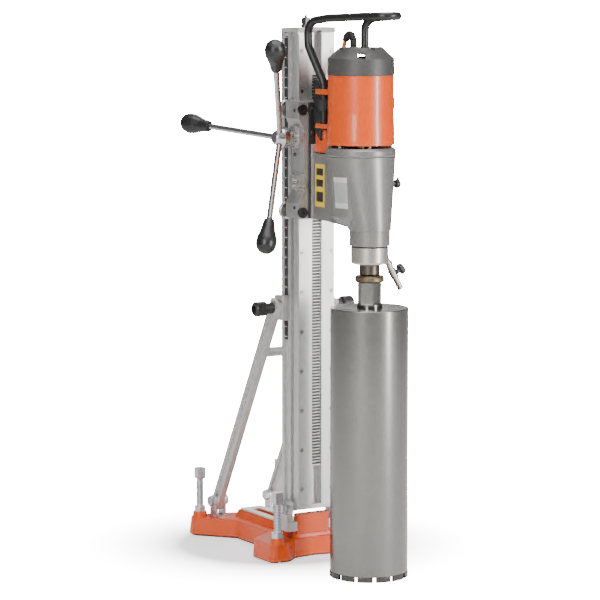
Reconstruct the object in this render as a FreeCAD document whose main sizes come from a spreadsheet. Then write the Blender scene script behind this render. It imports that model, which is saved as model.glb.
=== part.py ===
import FreeCAD, Part
import math
import os

import Sketcher
from FreeCAD import Placement, Rotation, Vector

# A rig-mounted core drill: base, tilting column with two braces, geared carriage, motor, gearbox and bit.
# Frame: millimetres, +Z up. The origin is on the floor under the middle of the four levelling screws.
# The drill hangs on the front of the column (-Y), the feed handle is on the left (-X).

doc = FreeCAD.newDocument("core_drill_rig")
sheet = doc.addObject("Spreadsheet::Sheet", "sizes")

DRIVING_SIZES = {
    # base
    "screw_half_x": 97, "screw_half_y": 162.5, "foot_height": 38, "plateau_height": 53, "boss_height": 49,
    "base_draft": 5, "seal_thickness": 3, "slot_half_width": 9, "zinc_half_width": 26, "zinc_thickness": 3,
    "screw_radius": 7, "screw_top": 142, "screw_head_side": 18, "screw_head_height": 23, "nut_flats": 22,
    # tilt pivot, saddle and braces
    "tilt_y": -123, "tilt_z": 100, "pin_radius": 8, "ear_inner": 47, "ear_outer": 60, "ear_radius": 18,
    "brace_inner": 59.6, "brace_width": 12.8, "brace_depth": 28, "brace_foot_y": 140, "brace_foot_z": 73,
    "brace_head_y": -100, "brace_head_z": 505, "bar_radius": 10, "knob_radius": 15, "knob_length": 34,
    # column
    "column_half": 42, "column_front": -149.5, "column_back": -85, "column_bottom": 99, "column_top": 1056,
    "face_plate": 3.5, "channel_half": 11, "channel_floor": -136, "groove_floor": 36.5, "rail_thick": 3,
    "cap_height": 10, "rack_bottom": 186, "rack_top": 972, "gear_module": 2, "rack_half": 10,
    "plate_screw_x": 34.5, "plate_screw_pitch": 80,
    # carriage, rollers and feed
    "carriage_bottom": 690, "carriage_top": 922, "carriage_front": -187, "carriage_half": 50,
    "carriage_block_half": 62, "roller_x": 54.5, "roller_y": -127, "roller_low": 703, "roller_high": 906,
    "roller_radius": 17.7, "roller_width": 9, "axle_radius": 5, "feed_z": 851, "pinion_teeth": 16,
    "feed_shaft_radius": 9, "hub_x": -92, "spoke_length": 205, "spoke_radius": 6, "spoke_cone": 21,
    "feed_knob_radius": 20.5, "feed_knob_length": 70,
    # drill
    "motor_y": -319, "motor_radius": 64, "motor_bottom": 844, "motor_top": 978, "cap_top": 1031,
    "shell_wall": 4, "flange_radius": 68.5, "flange_bottom": 821, "flange_top": 838,
    "gearbox_bottom": 680, "neck_bottom": 650, "neck_radius": 39.5, "bit_y": -352.5,
    "collar_radius": 36.3, "collar_bottom": 613.5, "collar_top": 647, "spindle_radius": 20,
    "bit_radius": 76, "bit_wall": 3, "bit_top": 529, "segment_height": 10, "segments": 13,
    # mains cable
    "cord_diameter": 9, "hank_run": 131, "hank_half": 31.5, "hank_wide": 18, "hank_thick": 36, "hank_x": 77,
    "hank_y": -232, "hank_z": 902,
}


def wording(value):
    """The sheet expression of a number."""
    return value.text if isinstance(value, Size) else f"({float(value)!r})"


class Size(float):
    """A number that keeps the sheet expression that it comes from, so a feature can be bound to it."""

    def __new__(cls, value, text):
        size = super().__new__(cls, value)
        size.text = text
        return size

    def __add__(self, other):
        return Size(float(self) + float(other), f"({self.text} + {wording(other)})")

    def __radd__(self, other):
        return Size(float(other) + float(self), f"({wording(other)} + {self.text})")

    def __sub__(self, other):
        return Size(float(self) - float(other), f"({self.text} - {wording(other)})")

    def __rsub__(self, other):
        return Size(float(other) - float(self), f"({wording(other)} - {self.text})")

    def __mul__(self, other):
        return Size(float(self) * float(other), f"({self.text} * {wording(other)})")

    __rmul__ = __mul__

    def __truediv__(self, other):
        return Size(float(self) / float(other), f"({self.text} / {wording(other)})")

    def __neg__(self):
        return Size(-float(self), f"(0 - {self.text})")


class Sizes:
    """The driving sizes by name."""


size = Sizes()
for row, (alias, number) in enumerate(DRIVING_SIZES.items(), start=1):
    sheet.set(f"A{row}", alias)
    sheet.set(f"B{row}", str(number))
    sheet.setAlias(f"B{row}", alias)
    setattr(size, alias, Size(number, f"sizes.{alias}"))
doc.recompute()

nodes = {}  # label -> the object whose shape is written
TO_X = Rotation(Vector(0, 1, 0), 90)  # turns +Z to +X
TO_Y = Rotation(Vector(1, 0, 0), -90)  # turns +Z to +Y
UPRIGHT = Rotation()


def keep(label, thing):
    """Names a finished sub-part."""
    thing.Label = label
    nodes[label] = thing
    return thing


def bind(thing, name, value):
    """Sets a property, and binds it to the sheet where the value came from there."""
    if isinstance(value, Size):
        thing.setExpression(name, value.text)
    else:
        setattr(thing, name, value)


def put(thing, place, turn=UPRIGHT):
    """Places an object at a point, each coordinate bound to the sheet where it can be."""
    thing.Placement = Placement(Vector(*(float(v) for v in place)), turn)
    for axis, value in zip("xyz", place):
        if isinstance(value, Size):
            thing.setExpression(f"Placement.Base.{axis}", value.text)
    return thing


def box(low, high, name="block"):
    """An upright block between two corners."""
    thing = doc.addObject("Part::Box", name)
    for prop, a, b in zip(("Length", "Width", "Height"), low, high):
        bind(thing, prop, b - a)
    return put(thing, low)


def rod(radius, length, place, turn=UPRIGHT, name="rod"):
    """A cylinder from a point, along +Z turned by the rotation."""
    thing = doc.addObject("Part::Cylinder", name)
    bind(thing, "Radius", radius)
    bind(thing, "Height", length)
    return put(thing, place, turn)


def cone(radius, radius_end, length, place, turn=UPRIGHT, name="cone"):
    thing = doc.addObject("Part::Cone", name)
    bind(thing, "Radius1", radius)
    bind(thing, "Radius2", radius_end)
    bind(thing, "Height", length)
    return put(thing, place, turn)


def prism(sides, flats, length, place, turn=UPRIGHT, name="prism"):
    """A regular prism with that distance across its flats."""
    thing = doc.addObject("Part::Prism", name)
    thing.Polygon = sides
    bind(thing, "Circumradius", flats / (2 * math.cos(math.pi / sides)))
    bind(thing, "Height", length)
    return put(thing, place, turn)


def fuse(*shapes, name="fusion"):
    thing = doc.addObject("Part::MultiFuse", name)
    thing.Shapes = list(shapes)
    return thing


def cut(base, *tools, name="cut"):
    thing = doc.addObject("Part::Cut", name)
    thing.Base = base
    thing.Tool = tools[0] if len(tools) == 1 else group(*tools)
    return thing


def group(*shapes, name="group"):
    """Separate solids kept in one node."""
    thing = doc.addObject("Part::Compound", name)
    thing.Links = list(shapes)
    return thing


def feature(shape, name="shape"):
    thing = doc.addObject("Part::Feature", name)
    thing.Shape = shape
    return thing


# ---- sketches and PartDesign bodies ----


def plane_of(body, role):
    return next(f for f in body.Origin.OriginFeatures if f.Role == role)


def pin_point(sketch, edge, point, x, y):
    """Fixes one sketch point by two dimensions from the sketch's origin."""
    for kind, value, axis in (("DistanceX", x, -2), ("DistanceY", y, -1)):
        if abs(value) < 1e-9:
            sketch.addConstraint(Sketcher.Constraint("PointOnObject", edge, point, axis))
            continue
        index = sketch.addConstraint(Sketcher.Constraint(kind, -1, 1, edge, point, float(value)))
        if isinstance(value, Size):
            sketch.setExpression(f"Constraints[{index}]", value.text)


def new_sketch(body, role, offset=0):
    sketch = body.newObject("Sketcher::SketchObject", "outline")
    sketch.AttachmentSupport = (plane_of(body, role), [""])
    sketch.MapMode = "FlatFace"
    if isinstance(offset, Size):
        sketch.setExpression("AttachmentOffset.Base.z", offset.text)
    sketch.AttachmentOffset = Placement(Vector(0, 0, float(offset)), Rotation())
    return sketch


def draw_loop(sketch, corners):
    """A closed loop of straight lines through the corners, fully dimensioned."""
    first = sketch.GeometryCount
    count = len(corners)
    for i, (x, y) in enumerate(corners):
        far_x, far_y = corners[(i + 1) % count]
        sketch.addGeometry(Part.LineSegment(Vector(x, y, 0), Vector(far_x, far_y, 0)), False)
    for i in range(count):
        after = first + (i + 1) % count
        sketch.addConstraint(Sketcher.Constraint("Coincident", first + i, 2, after, 1))
    for i, (x, y) in enumerate(corners):
        pin_point(sketch, first + i, 1, x, y)


def draw_circle(sketch, x, y, radius):
    index = sketch.addGeometry(Part.Circle(Vector(x, y, 0), Vector(0, 0, 1), float(radius)), False)
    pin_point(sketch, index, 3, x, y)
    number = sketch.addConstraint(Sketcher.Constraint("Radius", index, float(radius)))
    if isinstance(radius, Size):
        sketch.setExpression(f"Constraints[{number}]", radius.text)


def new_body(name, place=(0, 0, 0), turn=UPRIGHT):
    return put(doc.addObject("PartDesign::Body", name), place, turn)


def pad(body, role, corners, length, offset=0, both_ways=False, backwards=False, taper=0, loops=()):
    sketch = new_sketch(body, role, offset)
    draw_loop(sketch, corners)
    for loop in loops:
        draw_loop(sketch, loop)
    solid = body.newObject("PartDesign::Pad", "pad")
    solid.Profile = sketch
    bind(solid, "Length", length)
    if both_ways:
        solid.SideType = "Symmetric"
    solid.Reversed = backwards
    if taper:
        bind(solid, "TaperAngle", taper)
    doc.recompute()
    return solid


def pocket(body, role, draw, length, offset=0, backwards=False, both_ways=False):
    """Cuts a pocket, and checks that it took something away."""
    before = body.Shape.Volume
    sketch = new_sketch(body, role, offset)
    draw(sketch)
    hole = body.newObject("PartDesign::Pocket", "pocket")
    hole.Profile = sketch
    bind(hole, "Length", length)
    if both_ways:
        hole.SideType = "Symmetric"
    hole.Reversed = backwards
    doc.recompute()
    if body.Shape.Volume > before - 1:
        raise ValueError(f"a pocket of {body.Name} cuts nothing")
    return hole


def turned(name, profile, place=(0, 0, 0), turn=UPRIGHT):
    """A turned piece: the profile is radius and height, spun about the body's own Z axis."""
    body = new_body(name, place, turn)
    sketch = new_sketch(body, "XZ_Plane")
    draw_loop(sketch, profile)
    solid = body.newObject("PartDesign::Revolution", "turning")
    solid.Profile = sketch
    solid.ReferenceAxis = (sketch, ["V_Axis"])
    solid.Angle = 360
    return body


def lofted(name, circles):
    """A straight-sided piece between circles, each given as its height, its middle's y and its radius."""
    body = new_body(name)
    rings = []
    for z, y, radius in circles:
        ring = new_sketch(body, "XY_Plane", z)
        draw_circle(ring, 0, y, radius)
        rings.append(ring)
    loft = body.newObject("PartDesign::AdditiveLoft", "loft")
    loft.Profile = rings[0]
    loft.Sections = rings[1:]
    loft.Ruled = True
    doc.recompute()
    return body


def round_edges(body, base, radius, wanted):
    """Rounds the edges of a feature whose middle point passes the test."""
    doc.recompute()
    names = []
    for i, edge in enumerate(base.Shape.Edges, start=1):
        middle = edge.valueAt((edge.FirstParameter + edge.LastParameter) / 2)
        if wanted(edge, middle):
            names.append(f"Edge{i}")
    if not names:
        raise ValueError(f"no edge of {body.Name} to round")
    rounding = body.newObject("PartDesign::Fillet", "rounding")
    rounding.Base = (base, names)
    bind(rounding, "Radius", radius)
    doc.recompute()
    return rounding


# ---- tubes bent round a route ----


def bent_path(points, radii):
    """Straight runs joined by tangent arcs, one radius for each inner point."""
    points = [Vector(*(float(v) for v in p)) for p in points]
    edges = []
    start = points[0]
    for before, corner, after, radius in zip(points, points[1:], points[2:], radii):
        into = (corner - before).normalize()
        out = (after - corner).normalize()
        half = into.getAngle(out) / 2
        back = radius * math.tan(half)
        first = corner - into * back
        last = corner + out * back
        across = (out - into).normalize()
        middle = corner + across * (radius / math.cos(half) - radius)
        if (first - start).Length > 1e-6:
            edges.append(Part.LineSegment(start, first).toShape())
        edges.append(Part.Arc(first, middle, last).toShape())
        start = last
    edges.append(Part.LineSegment(start, points[-1]).toShape())
    return Part.Wire(edges)


def free_radii(points):
    """The largest arcs that the runs of a loose cord allow."""
    points = [Vector(*(float(v) for v in p)) for p in points]
    radii = []
    for before, corner, after in zip(points, points[1:], points[2:]):
        half = (corner - before).getAngle(after - corner) / 2
        radii.append(0.45 * min((corner - before).Length, (after - corner).Length) / math.tan(half))
    return radii


def tube_shape(path, radius):
    """A round solid of that radius along a path."""
    start = path.OrderedVertexes[0].Point
    direction = path.OrderedEdges[0].tangentAt(path.OrderedEdges[0].FirstParameter)
    ring = Part.Wire(Part.makeCircle(float(radius), start, direction))
    solid = path.makePipeShell([ring], True, False)
    expected = math.pi * float(radius) ** 2 * path.Length
    print(f"tube: {path.Length:.1f} mm, volume {solid.Volume / expected:.4f} of section x length")
    return solid


# ---- gears ----


def involute_outline(module, teeth, backlash=0.3, turn=0.0, steps=6):
    """One closed outline of a spur gear: straight roots, involute flanks, pressure angle 20 degrees."""
    pressure = math.radians(20)
    pitch_radius = module * teeth / 2
    base_radius = pitch_radius * math.cos(pressure)
    tip_radius = pitch_radius + 0.95 * module
    root_radius = pitch_radius - 1.25 * module
    half_tooth = math.pi / (2 * teeth) - backlash / (2 * pitch_radius)
    spread_at_pitch = math.tan(pressure) - pressure
    low = max(base_radius, root_radius)
    flank = []
    for i in range(steps + 1):
        radius = low + (tip_radius - low) * i / steps
        angle = math.acos(min(1.0, base_radius / radius))
        flank.append((radius, half_tooth + spread_at_pitch - (math.tan(angle) - angle)))
    points = []
    for tooth in range(teeth):
        middle = turn + 2 * math.pi * tooth / teeth
        side = [(root_radius, flank[0][1])] + flank
        for radius, angle in side:
            points.append((radius, middle - angle))
        for radius, angle in reversed(side):
            points.append((radius, middle + angle))
    return [Vector(r * math.cos(a), r * math.sin(a), 0) for r, a in points]


def gear_shape(module, teeth, width, turn=0.0):
    outline = involute_outline(module, teeth, turn=turn)
    face = Part.Face(Part.makePolygon(outline + outline[:1]))
    return face.extrude(Vector(0, 0, width))


# ======== base ========


def build_base():
    half_x, half_y = size.screw_half_x, size.screw_half_y
    # One half of the plan: a straight front, front pads, a waist, and slimmer rear arms.
    half_plan = [
        (0, -(half_y - 20)),
        (half_x - 49, -(half_y - 12)),
        (half_x - 22, -(half_y + 12)),
        (half_x + 19, -(half_y + 12)),
        (half_x + 19, -(half_y - 70)),
        (half_x - 43, -(half_y - 118)),
        (half_x - 43, half_y - 78),
        (half_x + 20, half_y - 6),
        (half_x + 20, half_y + 21),
        (half_x - 22, half_y + 21),
        (0, half_y - 2),
    ]
    mirrored = [(-x, y) for x, y in reversed(half_plan[1:-1])]
    plan = half_plan + mirrored
    body = new_body("base_casting")
    rise = size.foot_height - size.seal_thickness
    solid = pad(body, "XY_Plane", plan, rise, size.seal_thickness, taper=-size.base_draft)

    def foot_corner(edge, middle):
        lean = abs(edge.tangentAt(edge.FirstParameter).z)
        return lean > 0.5 and abs(middle.x) > half_x - 30

    def outer_corner(edge, middle):
        return foot_corner(edge, middle) and abs(middle.x) > half_x + 5

    def inner_corner(edge, middle):
        lean = abs(edge.tangentAt(edge.FirstParameter).z)
        return lean > 0.5 and 5 < abs(middle.x) < half_x + 5

    solid = round_edges(body, solid, 15, outer_corner)
    solid = round_edges(body, solid, 14, inner_corner)
    # the raised middle, which carries the saddle and the slotted plate
    plateau = [(-47, -139), (47, -139), (47, -60), (35, -38), (35, 128), (-35, 128), (-35, -38), (-47, -60)]
    lift = size.plateau_height - size.foot_height + 6
    pad(body, "XY_Plane", plateau, lift, size.foot_height - 6, taper=-size.base_draft * 4)
    # the block between the saddle's ears, under the front of the column
    block = [(-36.6, -139), (36.6, -139), (36.6, -124.5), (-36.6, -124.5)]
    pad(body, "XY_Plane", block, 40, size.plateau_height - 6)
    for x in (-half_x, half_x):
        for y in (-half_y, half_y):
            sketch = new_sketch(body, "XY_Plane", size.foot_height - 2)
            draw_circle(sketch, x, y, 16)
            boss = body.newObject("PartDesign::Pad", "boss")
            boss.Profile = sketch
            bind(boss, "Length", size.boss_height - size.foot_height + 2)
            boss.TaperAngle = -8
            doc.recompute()
    slot_front, slot_rear = -25, 98
    slot_half = size.slot_half_width + 1

    def slot_opening(sketch):
        draw_loop(sketch, [(-slot_half, slot_front - 1), (slot_half, slot_front - 1),
                           (slot_half, slot_rear + 1), (-slot_half, slot_rear + 1)])

    def vacuum_space(sketch):
        draw_loop(sketch, [(-36, -118), (36, -118), (28, -40), (28, 116), (-28, 116), (-28, -40)])

    def screw_holes(sketch):
        for x in (-half_x, half_x):
            for y in (-half_y, half_y):
                draw_circle(sketch, x, y, size.screw_radius + 0.06)

    pocket(body, "XY_Plane", slot_opening, 80, backwards=True)
    pocket(body, "XY_Plane", vacuum_space, size.plateau_height - 9, backwards=True)
    pocket(body, "XY_Plane", screw_holes, 80, backwards=True)
    keep("base_plate", body)

    # the black seal under the rim, a little inside the casting
    seal = new_body("seal")
    inset = [(x * 0.965, y * 0.975) for x, y in plan]
    opening = [(-36, -118), (36, -118), (28, -40), (28, 116), (-28, 116), (-28, -40)]
    lower = pad(seal, "XY_Plane", inset, size.seal_thickness, loops=[opening])
    round_edges(seal, lower, 13, lambda edge, middle: (
        abs(edge.tangentAt(edge.FirstParameter).z) > 0.5 and abs(middle.x) > half_x + 5))

    def clearance(sketch):
        for x in (-half_x, half_x):
            for y in (-half_y, half_y):
                draw_circle(sketch, x, y, size.screw_radius + 1)

    pocket(seal, "XY_Plane", clearance, 10, backwards=True)
    keep("base_seal", seal)

    zinc = new_body("zinc")
    half = size.zinc_half_width
    outline = [(-half, -58), (half, -58), (half, 120), (-half, 120)]
    slot = [(-size.slot_half_width, slot_front), (size.slot_half_width, slot_front),
            (size.slot_half_width, slot_rear), (-size.slot_half_width, slot_rear)]
    plate = pad(zinc, "XY_Plane", outline, size.zinc_thickness, size.plateau_height, loops=[slot])
    round_edges(zinc, plate, 7, lambda edge, middle: abs(edge.tangentAt(edge.FirstParameter).z) > 0.5)
    keep("slot_plate", zinc)


def build_levelling():
    nut_height = 11
    nuts = []
    for front, y in (("front", -size.screw_half_y), ("rear", size.screw_half_y)):
        for side, x in (("left", -size.screw_half_x), ("right", size.screw_half_x)):
            nut = prism(6, size.nut_flats, nut_height, (x, y, size.boss_height))
            bore = rod(size.screw_radius + 0.06, nut_height + 2, (x, y, size.boss_height - 1))
            nuts.append(cut(nut, bore))
            shank_low = 4
            neck = size.screw_top - size.screw_head_height
            tip = cone(size.screw_radius - 2, size.screw_radius, 3, (x, y, shank_low))
            shank = rod(size.screw_radius, neck - shank_low - 3, (x, y, shank_low + 3))
            flat = size.screw_head_side / 2
            head = box((x - flat, y - flat, neck), (x + flat, y + flat, size.screw_top))
            keep(f"levelling_screw_{front}_{side}", fuse(tip, shank, head))
    keep("levelling_nuts", group(*nuts))


# ======== tilt pivot and braces ========


def side_rod(radius, x_from, x_to, y, z):
    """A cylinder along X between two X values."""
    return rod(radius, x_to - x_from, (x_from, y, z), TO_X)


def build_saddle():
    floor_z = size.plateau_height
    tie = box((-size.ear_outer, -124, floor_z), (size.ear_outer, -108, floor_z + 5))
    ears = []
    for sign, x in ((-1, -size.ear_outer), (1, size.ear_inner)):
        width = size.ear_outer - size.ear_inner
        low = box((x, -139, floor_z), (x + width, -97, floor_z + 19))
        toe_low, toe_high = (size.ear_inner - 10, size.ear_inner)
        toe_ends = (toe_low, toe_high) if sign > 0 else (-toe_high, -toe_low)
        ears.append(box((toe_ends[0], -139, floor_z), (toe_ends[1], -124, floor_z + 19)))
        stem = box((x, size.tilt_y - size.ear_radius + 3, floor_z + 10),
                   (x + width, size.tilt_y + size.ear_radius - 3, size.tilt_z))
        eye = side_rod(size.ear_radius, x, x + width, size.tilt_y, size.tilt_z)
        ears += [low, stem, eye]
    bore = side_rod(size.pin_radius + 0.01, -80, 80, size.tilt_y, size.tilt_z)
    keep("column_saddle", cut(fuse(tie, *ears), bore))


BOLT_HEAD = 8
BRACKET_SIDE = 5.5
BRACKET_GAP = 0.6


def build_brace_brackets():
    """Two forks on the rear arms, each with a small foot plate."""
    inner = size.brace_inner - BRACKET_GAP - BRACKET_SIDE
    outer = size.brace_inner + size.brace_width + BRACKET_GAP
    top = size.foot_height
    y, z = size.brace_foot_y, size.brace_foot_z
    forks = []
    for sign in (-1, 1):
        plates = []
        for low in (inner, outer):
            x = low if sign > 0 else -low - BRACKET_SIDE
            stem = box((x, y - 12, top + 3), (x + BRACKET_SIDE, y + 12, z))
            eye = side_rod(12, x, x + BRACKET_SIDE, y, z)
            plates += [stem, eye]
        ends = (inner - 2, outer + BRACKET_SIDE + 2)
        x_low, x_high = ends if sign > 0 else (-ends[1], -ends[0])
        foot = box((x_low, y - 13, top), (x_high, y + 15, top + 5))
        bore = side_rod(6.02, x_low - 5, x_high + 5, y, z)
        forks.append(cut(fuse(foot, *plates), bore))
    keep("brace_brackets", group(*forks))


def build_pivot_bolts():
    """Tilt pins with large heads, and the two brace bolts, all put in from the left."""
    bolts = []
    for sign in (-1, 1):
        near, far = size.groove_floor - 6, size.ear_outer
        low, high = (near, far) if sign > 0 else (-far, -near)
        pin = side_rod(size.pin_radius, low, high, size.tilt_y, size.tilt_z)
        head_low = size.ear_outer if sign > 0 else -size.ear_outer - BOLT_HEAD
        washer_low = size.ear_outer if sign > 0 else -size.ear_outer - 2.5
        head = prism(6, 22, BOLT_HEAD, (head_low, size.tilt_y, size.tilt_z), TO_X)
        washer = side_rod(15, washer_low, washer_low + 2.5, size.tilt_y, size.tilt_z)
        bolts.append(fuse(pin, washer, head))
    inner = size.brace_inner - BRACKET_GAP - BRACKET_SIDE
    outer = size.brace_inner + size.brace_width + BRACKET_GAP + BRACKET_SIDE
    for low, high in ((-outer, -inner), (inner, outer)):
        y, z = size.brace_foot_y, size.brace_foot_z
        pin = side_rod(6, low - 2, high + 2, y, z)
        head = prism(6, 19, BOLT_HEAD, (low - BOLT_HEAD, y, z), TO_X)
        nut = prism(6, 19, BOLT_HEAD, (high, y, z), TO_X)
        bolts.append(fuse(pin, head, nut))
    keep("pivot_bolts", group(*bolts))


def brace_turn():
    """The rotation that leans a piece drawn along +Z onto the brace's line."""
    run = size.brace_head_y - size.brace_foot_y
    rise = size.brace_head_z - size.brace_foot_z
    return Rotation(Vector(1, 0, 0), math.degrees(math.atan2(-float(run), float(rise))))


def brace_length():
    return math.hypot(float(size.brace_head_y - size.brace_foot_y), float(size.brace_head_z - size.brace_foot_z))


def build_braces():
    """Two grooved flat bars from the base to the column clamps, tied by a cross bar."""
    length = brace_length()
    width, depth = size.brace_width, size.brace_depth
    groove, lip = 2.5, 5
    for side, sign in (("left", -1), ("right", 1)):
        # drawn from the foot pivot along its own Z, then leaned
        profile = [
            (-width / 2, -depth / 2), (width / 2, -depth / 2), (width / 2, -lip), (width / 2 - groove, -lip),
            (width / 2 - groove, lip), (width / 2, lip), (width / 2, depth / 2), (-width / 2, depth / 2),
            (-width / 2, lip), (groove - width / 2, lip), (groove - width / 2, -lip), (-width / 2, -lip),
        ]
        body = new_body(f"{side}_bar", (sign * (size.brace_inner + width / 2), size.brace_foot_y,
                                        size.brace_foot_z), brace_turn())
        bar = pad(body, "XY_Plane", profile, length + 30, -14)

        def pivot_hole(sketch):
            draw_circle(sketch, 0, 0, 6.06)

        pocket(body, "YZ_Plane", pivot_hole, 60, both_ways=True)
        keep(f"{side}_brace", body)
    share = 0.775
    bar_y = size.brace_foot_y + (size.brace_head_y - size.brace_foot_y) * share
    bar_z = size.brace_foot_z + (size.brace_head_z - size.brace_foot_z) * share
    keep("brace_cross_bar", side_rod(size.bar_radius, -size.brace_inner, size.brace_inner, bar_y, bar_z))

    # black clamp knobs outside the brace heads, with a hexagon socket
    knobs = []
    outside = size.brace_inner + size.brace_width
    for sign in (-1, 1):
        profile = [
            (0, 0), (size.knob_radius - 4, 0), (size.knob_radius - 4, 7), (size.knob_radius - 1, 9),
            (size.knob_radius, 12), (size.knob_radius, size.knob_length - 3),
            (size.knob_radius - 2.5, size.knob_length), (8, size.knob_length), (8, size.knob_length - 8),
            (0, size.knob_length - 8),
        ]
        turn = Rotation(Vector(0, 1, 0), 90 * sign)
        knobs.append(turned("knob", profile, (sign * (outside + 8), size.brace_head_y, size.brace_head_z), turn))
        low, high = (outside, outside + 8) if sign > 0 else (-outside - 8, -outside)
        knobs.append(side_rod(11, low, high, size.brace_head_y, size.brace_head_z))
    keep("brace_knobs", group(*knobs))


def build_brace_clamps():
    """Blocks that run in the column's side slots, one under each brace head."""
    clamps = []
    z = size.brace_head_z
    for sign in (-1, 1):
        block_low, block_high = size.column_half + 0.4, size.brace_inner - 0.5
        tongue_low = size.column_half - 5.5
        edges = [(block_low, block_high, -118, -86), (tongue_low, block_low, -109.5, -97.5)]
        pieces = []
        for low, high, y_low, y_high in edges:
            x_low, x_high = (low, high) if sign > 0 else (-high, -low)
            pieces.append(box((x_low, y_low, z - 25), (x_high, y_high, z + 25)))
        clamps.append(fuse(*pieces))
    keep("brace_clamps", group(*clamps))


# ======== column ========


def build_column():
    half = size.column_half
    front, back = size.column_front, size.column_back
    floor_x = size.groove_floor - size.rail_thick
    right = [
        (0, back), (half, back), (half, -96), (half - 7.5, -96), (half - 7.5, -111), (half, -111),
        (half, -121), (floor_x, -121), (floor_x, -133), (half, -133), (half, front),
        (size.channel_half, front), (size.channel_half, size.channel_floor),
        (0, size.channel_floor),
    ]
    left = [(-x, y) for x, y in reversed(right[1:-1])]
    hollow_front = [(-27, -127), (27, -127), (27, -112), (-27, -112)]
    hollow_rear = [(-30, -106), (30, -106), (30, -91), (-30, -91)]
    body = new_body("column_profile")
    height = size.column_top - size.column_bottom
    pad(body, "XY_Plane", right + left, height, size.column_bottom, loops=[hollow_front, hollow_rear])

    def pin_bore(sketch):
        draw_circle(sketch, size.tilt_y, size.tilt_z, size.pin_radius + 0.06)

    pocket(body, "YZ_Plane", pin_bore, 200, both_ways=True)
    keep("column_extrusion", body)

    # face plates with their countersunk screws
    plates, screws = [], []
    plate_front = front - size.face_plate
    low_z, high_z = size.column_bottom + 9, size.column_top - 2
    for x_low, x_high, screw_x in ((-size.column_half + 1, -size.channel_half, -size.plate_screw_x),
                                   (size.channel_half, size.column_half - 1, size.plate_screw_x)):
        sheet_metal = box((x_low, plate_front, low_z), (x_high, front, high_z))
        holes = []
        for number in range(12):
            z = size.column_bottom + 41 + size.plate_screw_pitch * number
            holes.append(rod(2.5, 6, (screw_x, plate_front - 1, z), TO_Y))
            holes.append(cone(4.6, 2.5, 2.2, (screw_x, plate_front - 0.001, z), TO_Y))
            head = cone(4.5, 2.5, 2.1, (screw_x, plate_front, z), TO_Y)
            shank = rod(2.4, 3.4, (screw_x, plate_front + 0.1, z), TO_Y)
            screws.append(fuse(head, shank))
        plates.append(cut(sheet_metal, *holes))
    keep("face_plates", group(*plates))
    keep("face_plate_screws", group(*screws))

    rails = []
    for sign in (-1, 1):
        low, high = (floor_x, size.groove_floor) if sign > 0 else (-size.groove_floor, -floor_x)
        rails.append(box((low, -132, size.column_bottom + 25), (high, -122, size.column_top - 6)))
    keep("guide_rails", group(*rails))

    slot_floor = half - 7.5
    keep("depth_scale", box((-slot_floor - 1.2, -110.5, 440), (-slot_floor, -96.5, size.column_top - 8)))

    end = box((-half, plate_front, size.column_bottom), (half, plate_front + 14, low_z))
    keep("column_end_plate", cut(end, box((-half - 1, front, size.column_bottom - 1),
                                          (half + 1, front + 30, low_z + 1))))


def build_rack():
    """A straight rack: trapezoid teeth with 20 degree flanks, module 2, teeth to the front."""
    module = float(size.gear_module)
    pitch = math.pi * module
    pitch_line = float(size.channel_floor) - 13.5
    tip, root = pitch_line - module * 0.95, pitch_line + 1.25 * module
    slope = math.tan(math.radians(20))
    count = int((float(size.rack_top) - float(size.rack_bottom)) / pitch)
    # a gap of the rack is centred on the feed shaft's height
    below = int((float(size.feed_z) - float(size.rack_bottom)) / pitch)
    first = float(size.feed_z) - below * pitch
    points = []
    for number in range(count):
        gap = first + number * pitch
        wide = pitch / 4 + 0.15 + (pitch_line - tip) * slope
        narrow = pitch / 4 + 0.15 - (root - pitch_line) * slope
        points += [Vector(0, tip, gap - wide), Vector(0, root, gap - narrow),
                   Vector(0, root, gap + narrow), Vector(0, tip, gap + wide)]
    low, high = points[0].z - 2.5, points[-1].z + 2.5
    back = float(size.channel_floor)
    loop = [Vector(0, back, low), Vector(0, tip, low)] + points + [Vector(0, tip, high), Vector(0, back, high)]
    face = Part.Face(Part.makePolygon(loop + loop[:1]))
    solid = face.extrude(Vector(2 * float(size.rack_half), 0, 0))
    rack = feature(solid, "rack")
    put(rack, (-size.rack_half, 0, 0))
    keep("gear_rack", rack)
    print(f"rack: {count} gaps, pitch {pitch:.3f} mm, {low:.0f} to {high:.0f} mm")


JACK_X, JACK_Y = -6, -119.5


def build_column_cap():
    half = size.column_half
    low, high = size.column_top, size.column_top + size.cap_height
    plate_front = size.column_front - size.face_plate
    front_half = box((-half - 0.5, plate_front, low), (half + 0.5, -112, high))
    rear_half = box((-half - 0.5, -111.4, low), (half + 0.5, size.column_back, high - 1.5))
    bridge = box((-half + 6, -113, low), (half - 6, -110, high - 4))
    notch = box((-size.channel_half, plate_front - 1, low - 1), (size.channel_half, plate_front + 9, low + 4))
    bore = rod(6.06, 40, (JACK_X, JACK_Y, low - 5))
    keep("column_cap", cut(fuse(front_half, rear_half, bridge), notch, bore))

    # ceiling jack: a threaded rod through the cap with a round-shouldered hexagon head and a ring pin
    shank = rod(6, 96, (JACK_X, JACK_Y, low - 72))
    head = prism(6, 17, 15, (JACK_X, JACK_Y, high + 4))
    shoulder = rod(10, 4, (JACK_X, JACK_Y, high + 0.3))
    point = cone(4, 1.5, 6, (JACK_X, JACK_Y, high + 19))
    ring = doc.addObject("Part::Torus", "ring")
    ring.Radius1 = 4
    ring.Radius2 = 0.9
    put(ring, (JACK_X + 11, JACK_Y, high + 14), TO_Y)
    keep("jack_screw", fuse(shank, shoulder, head, point, ring))


# ======== carriage ========


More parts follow.
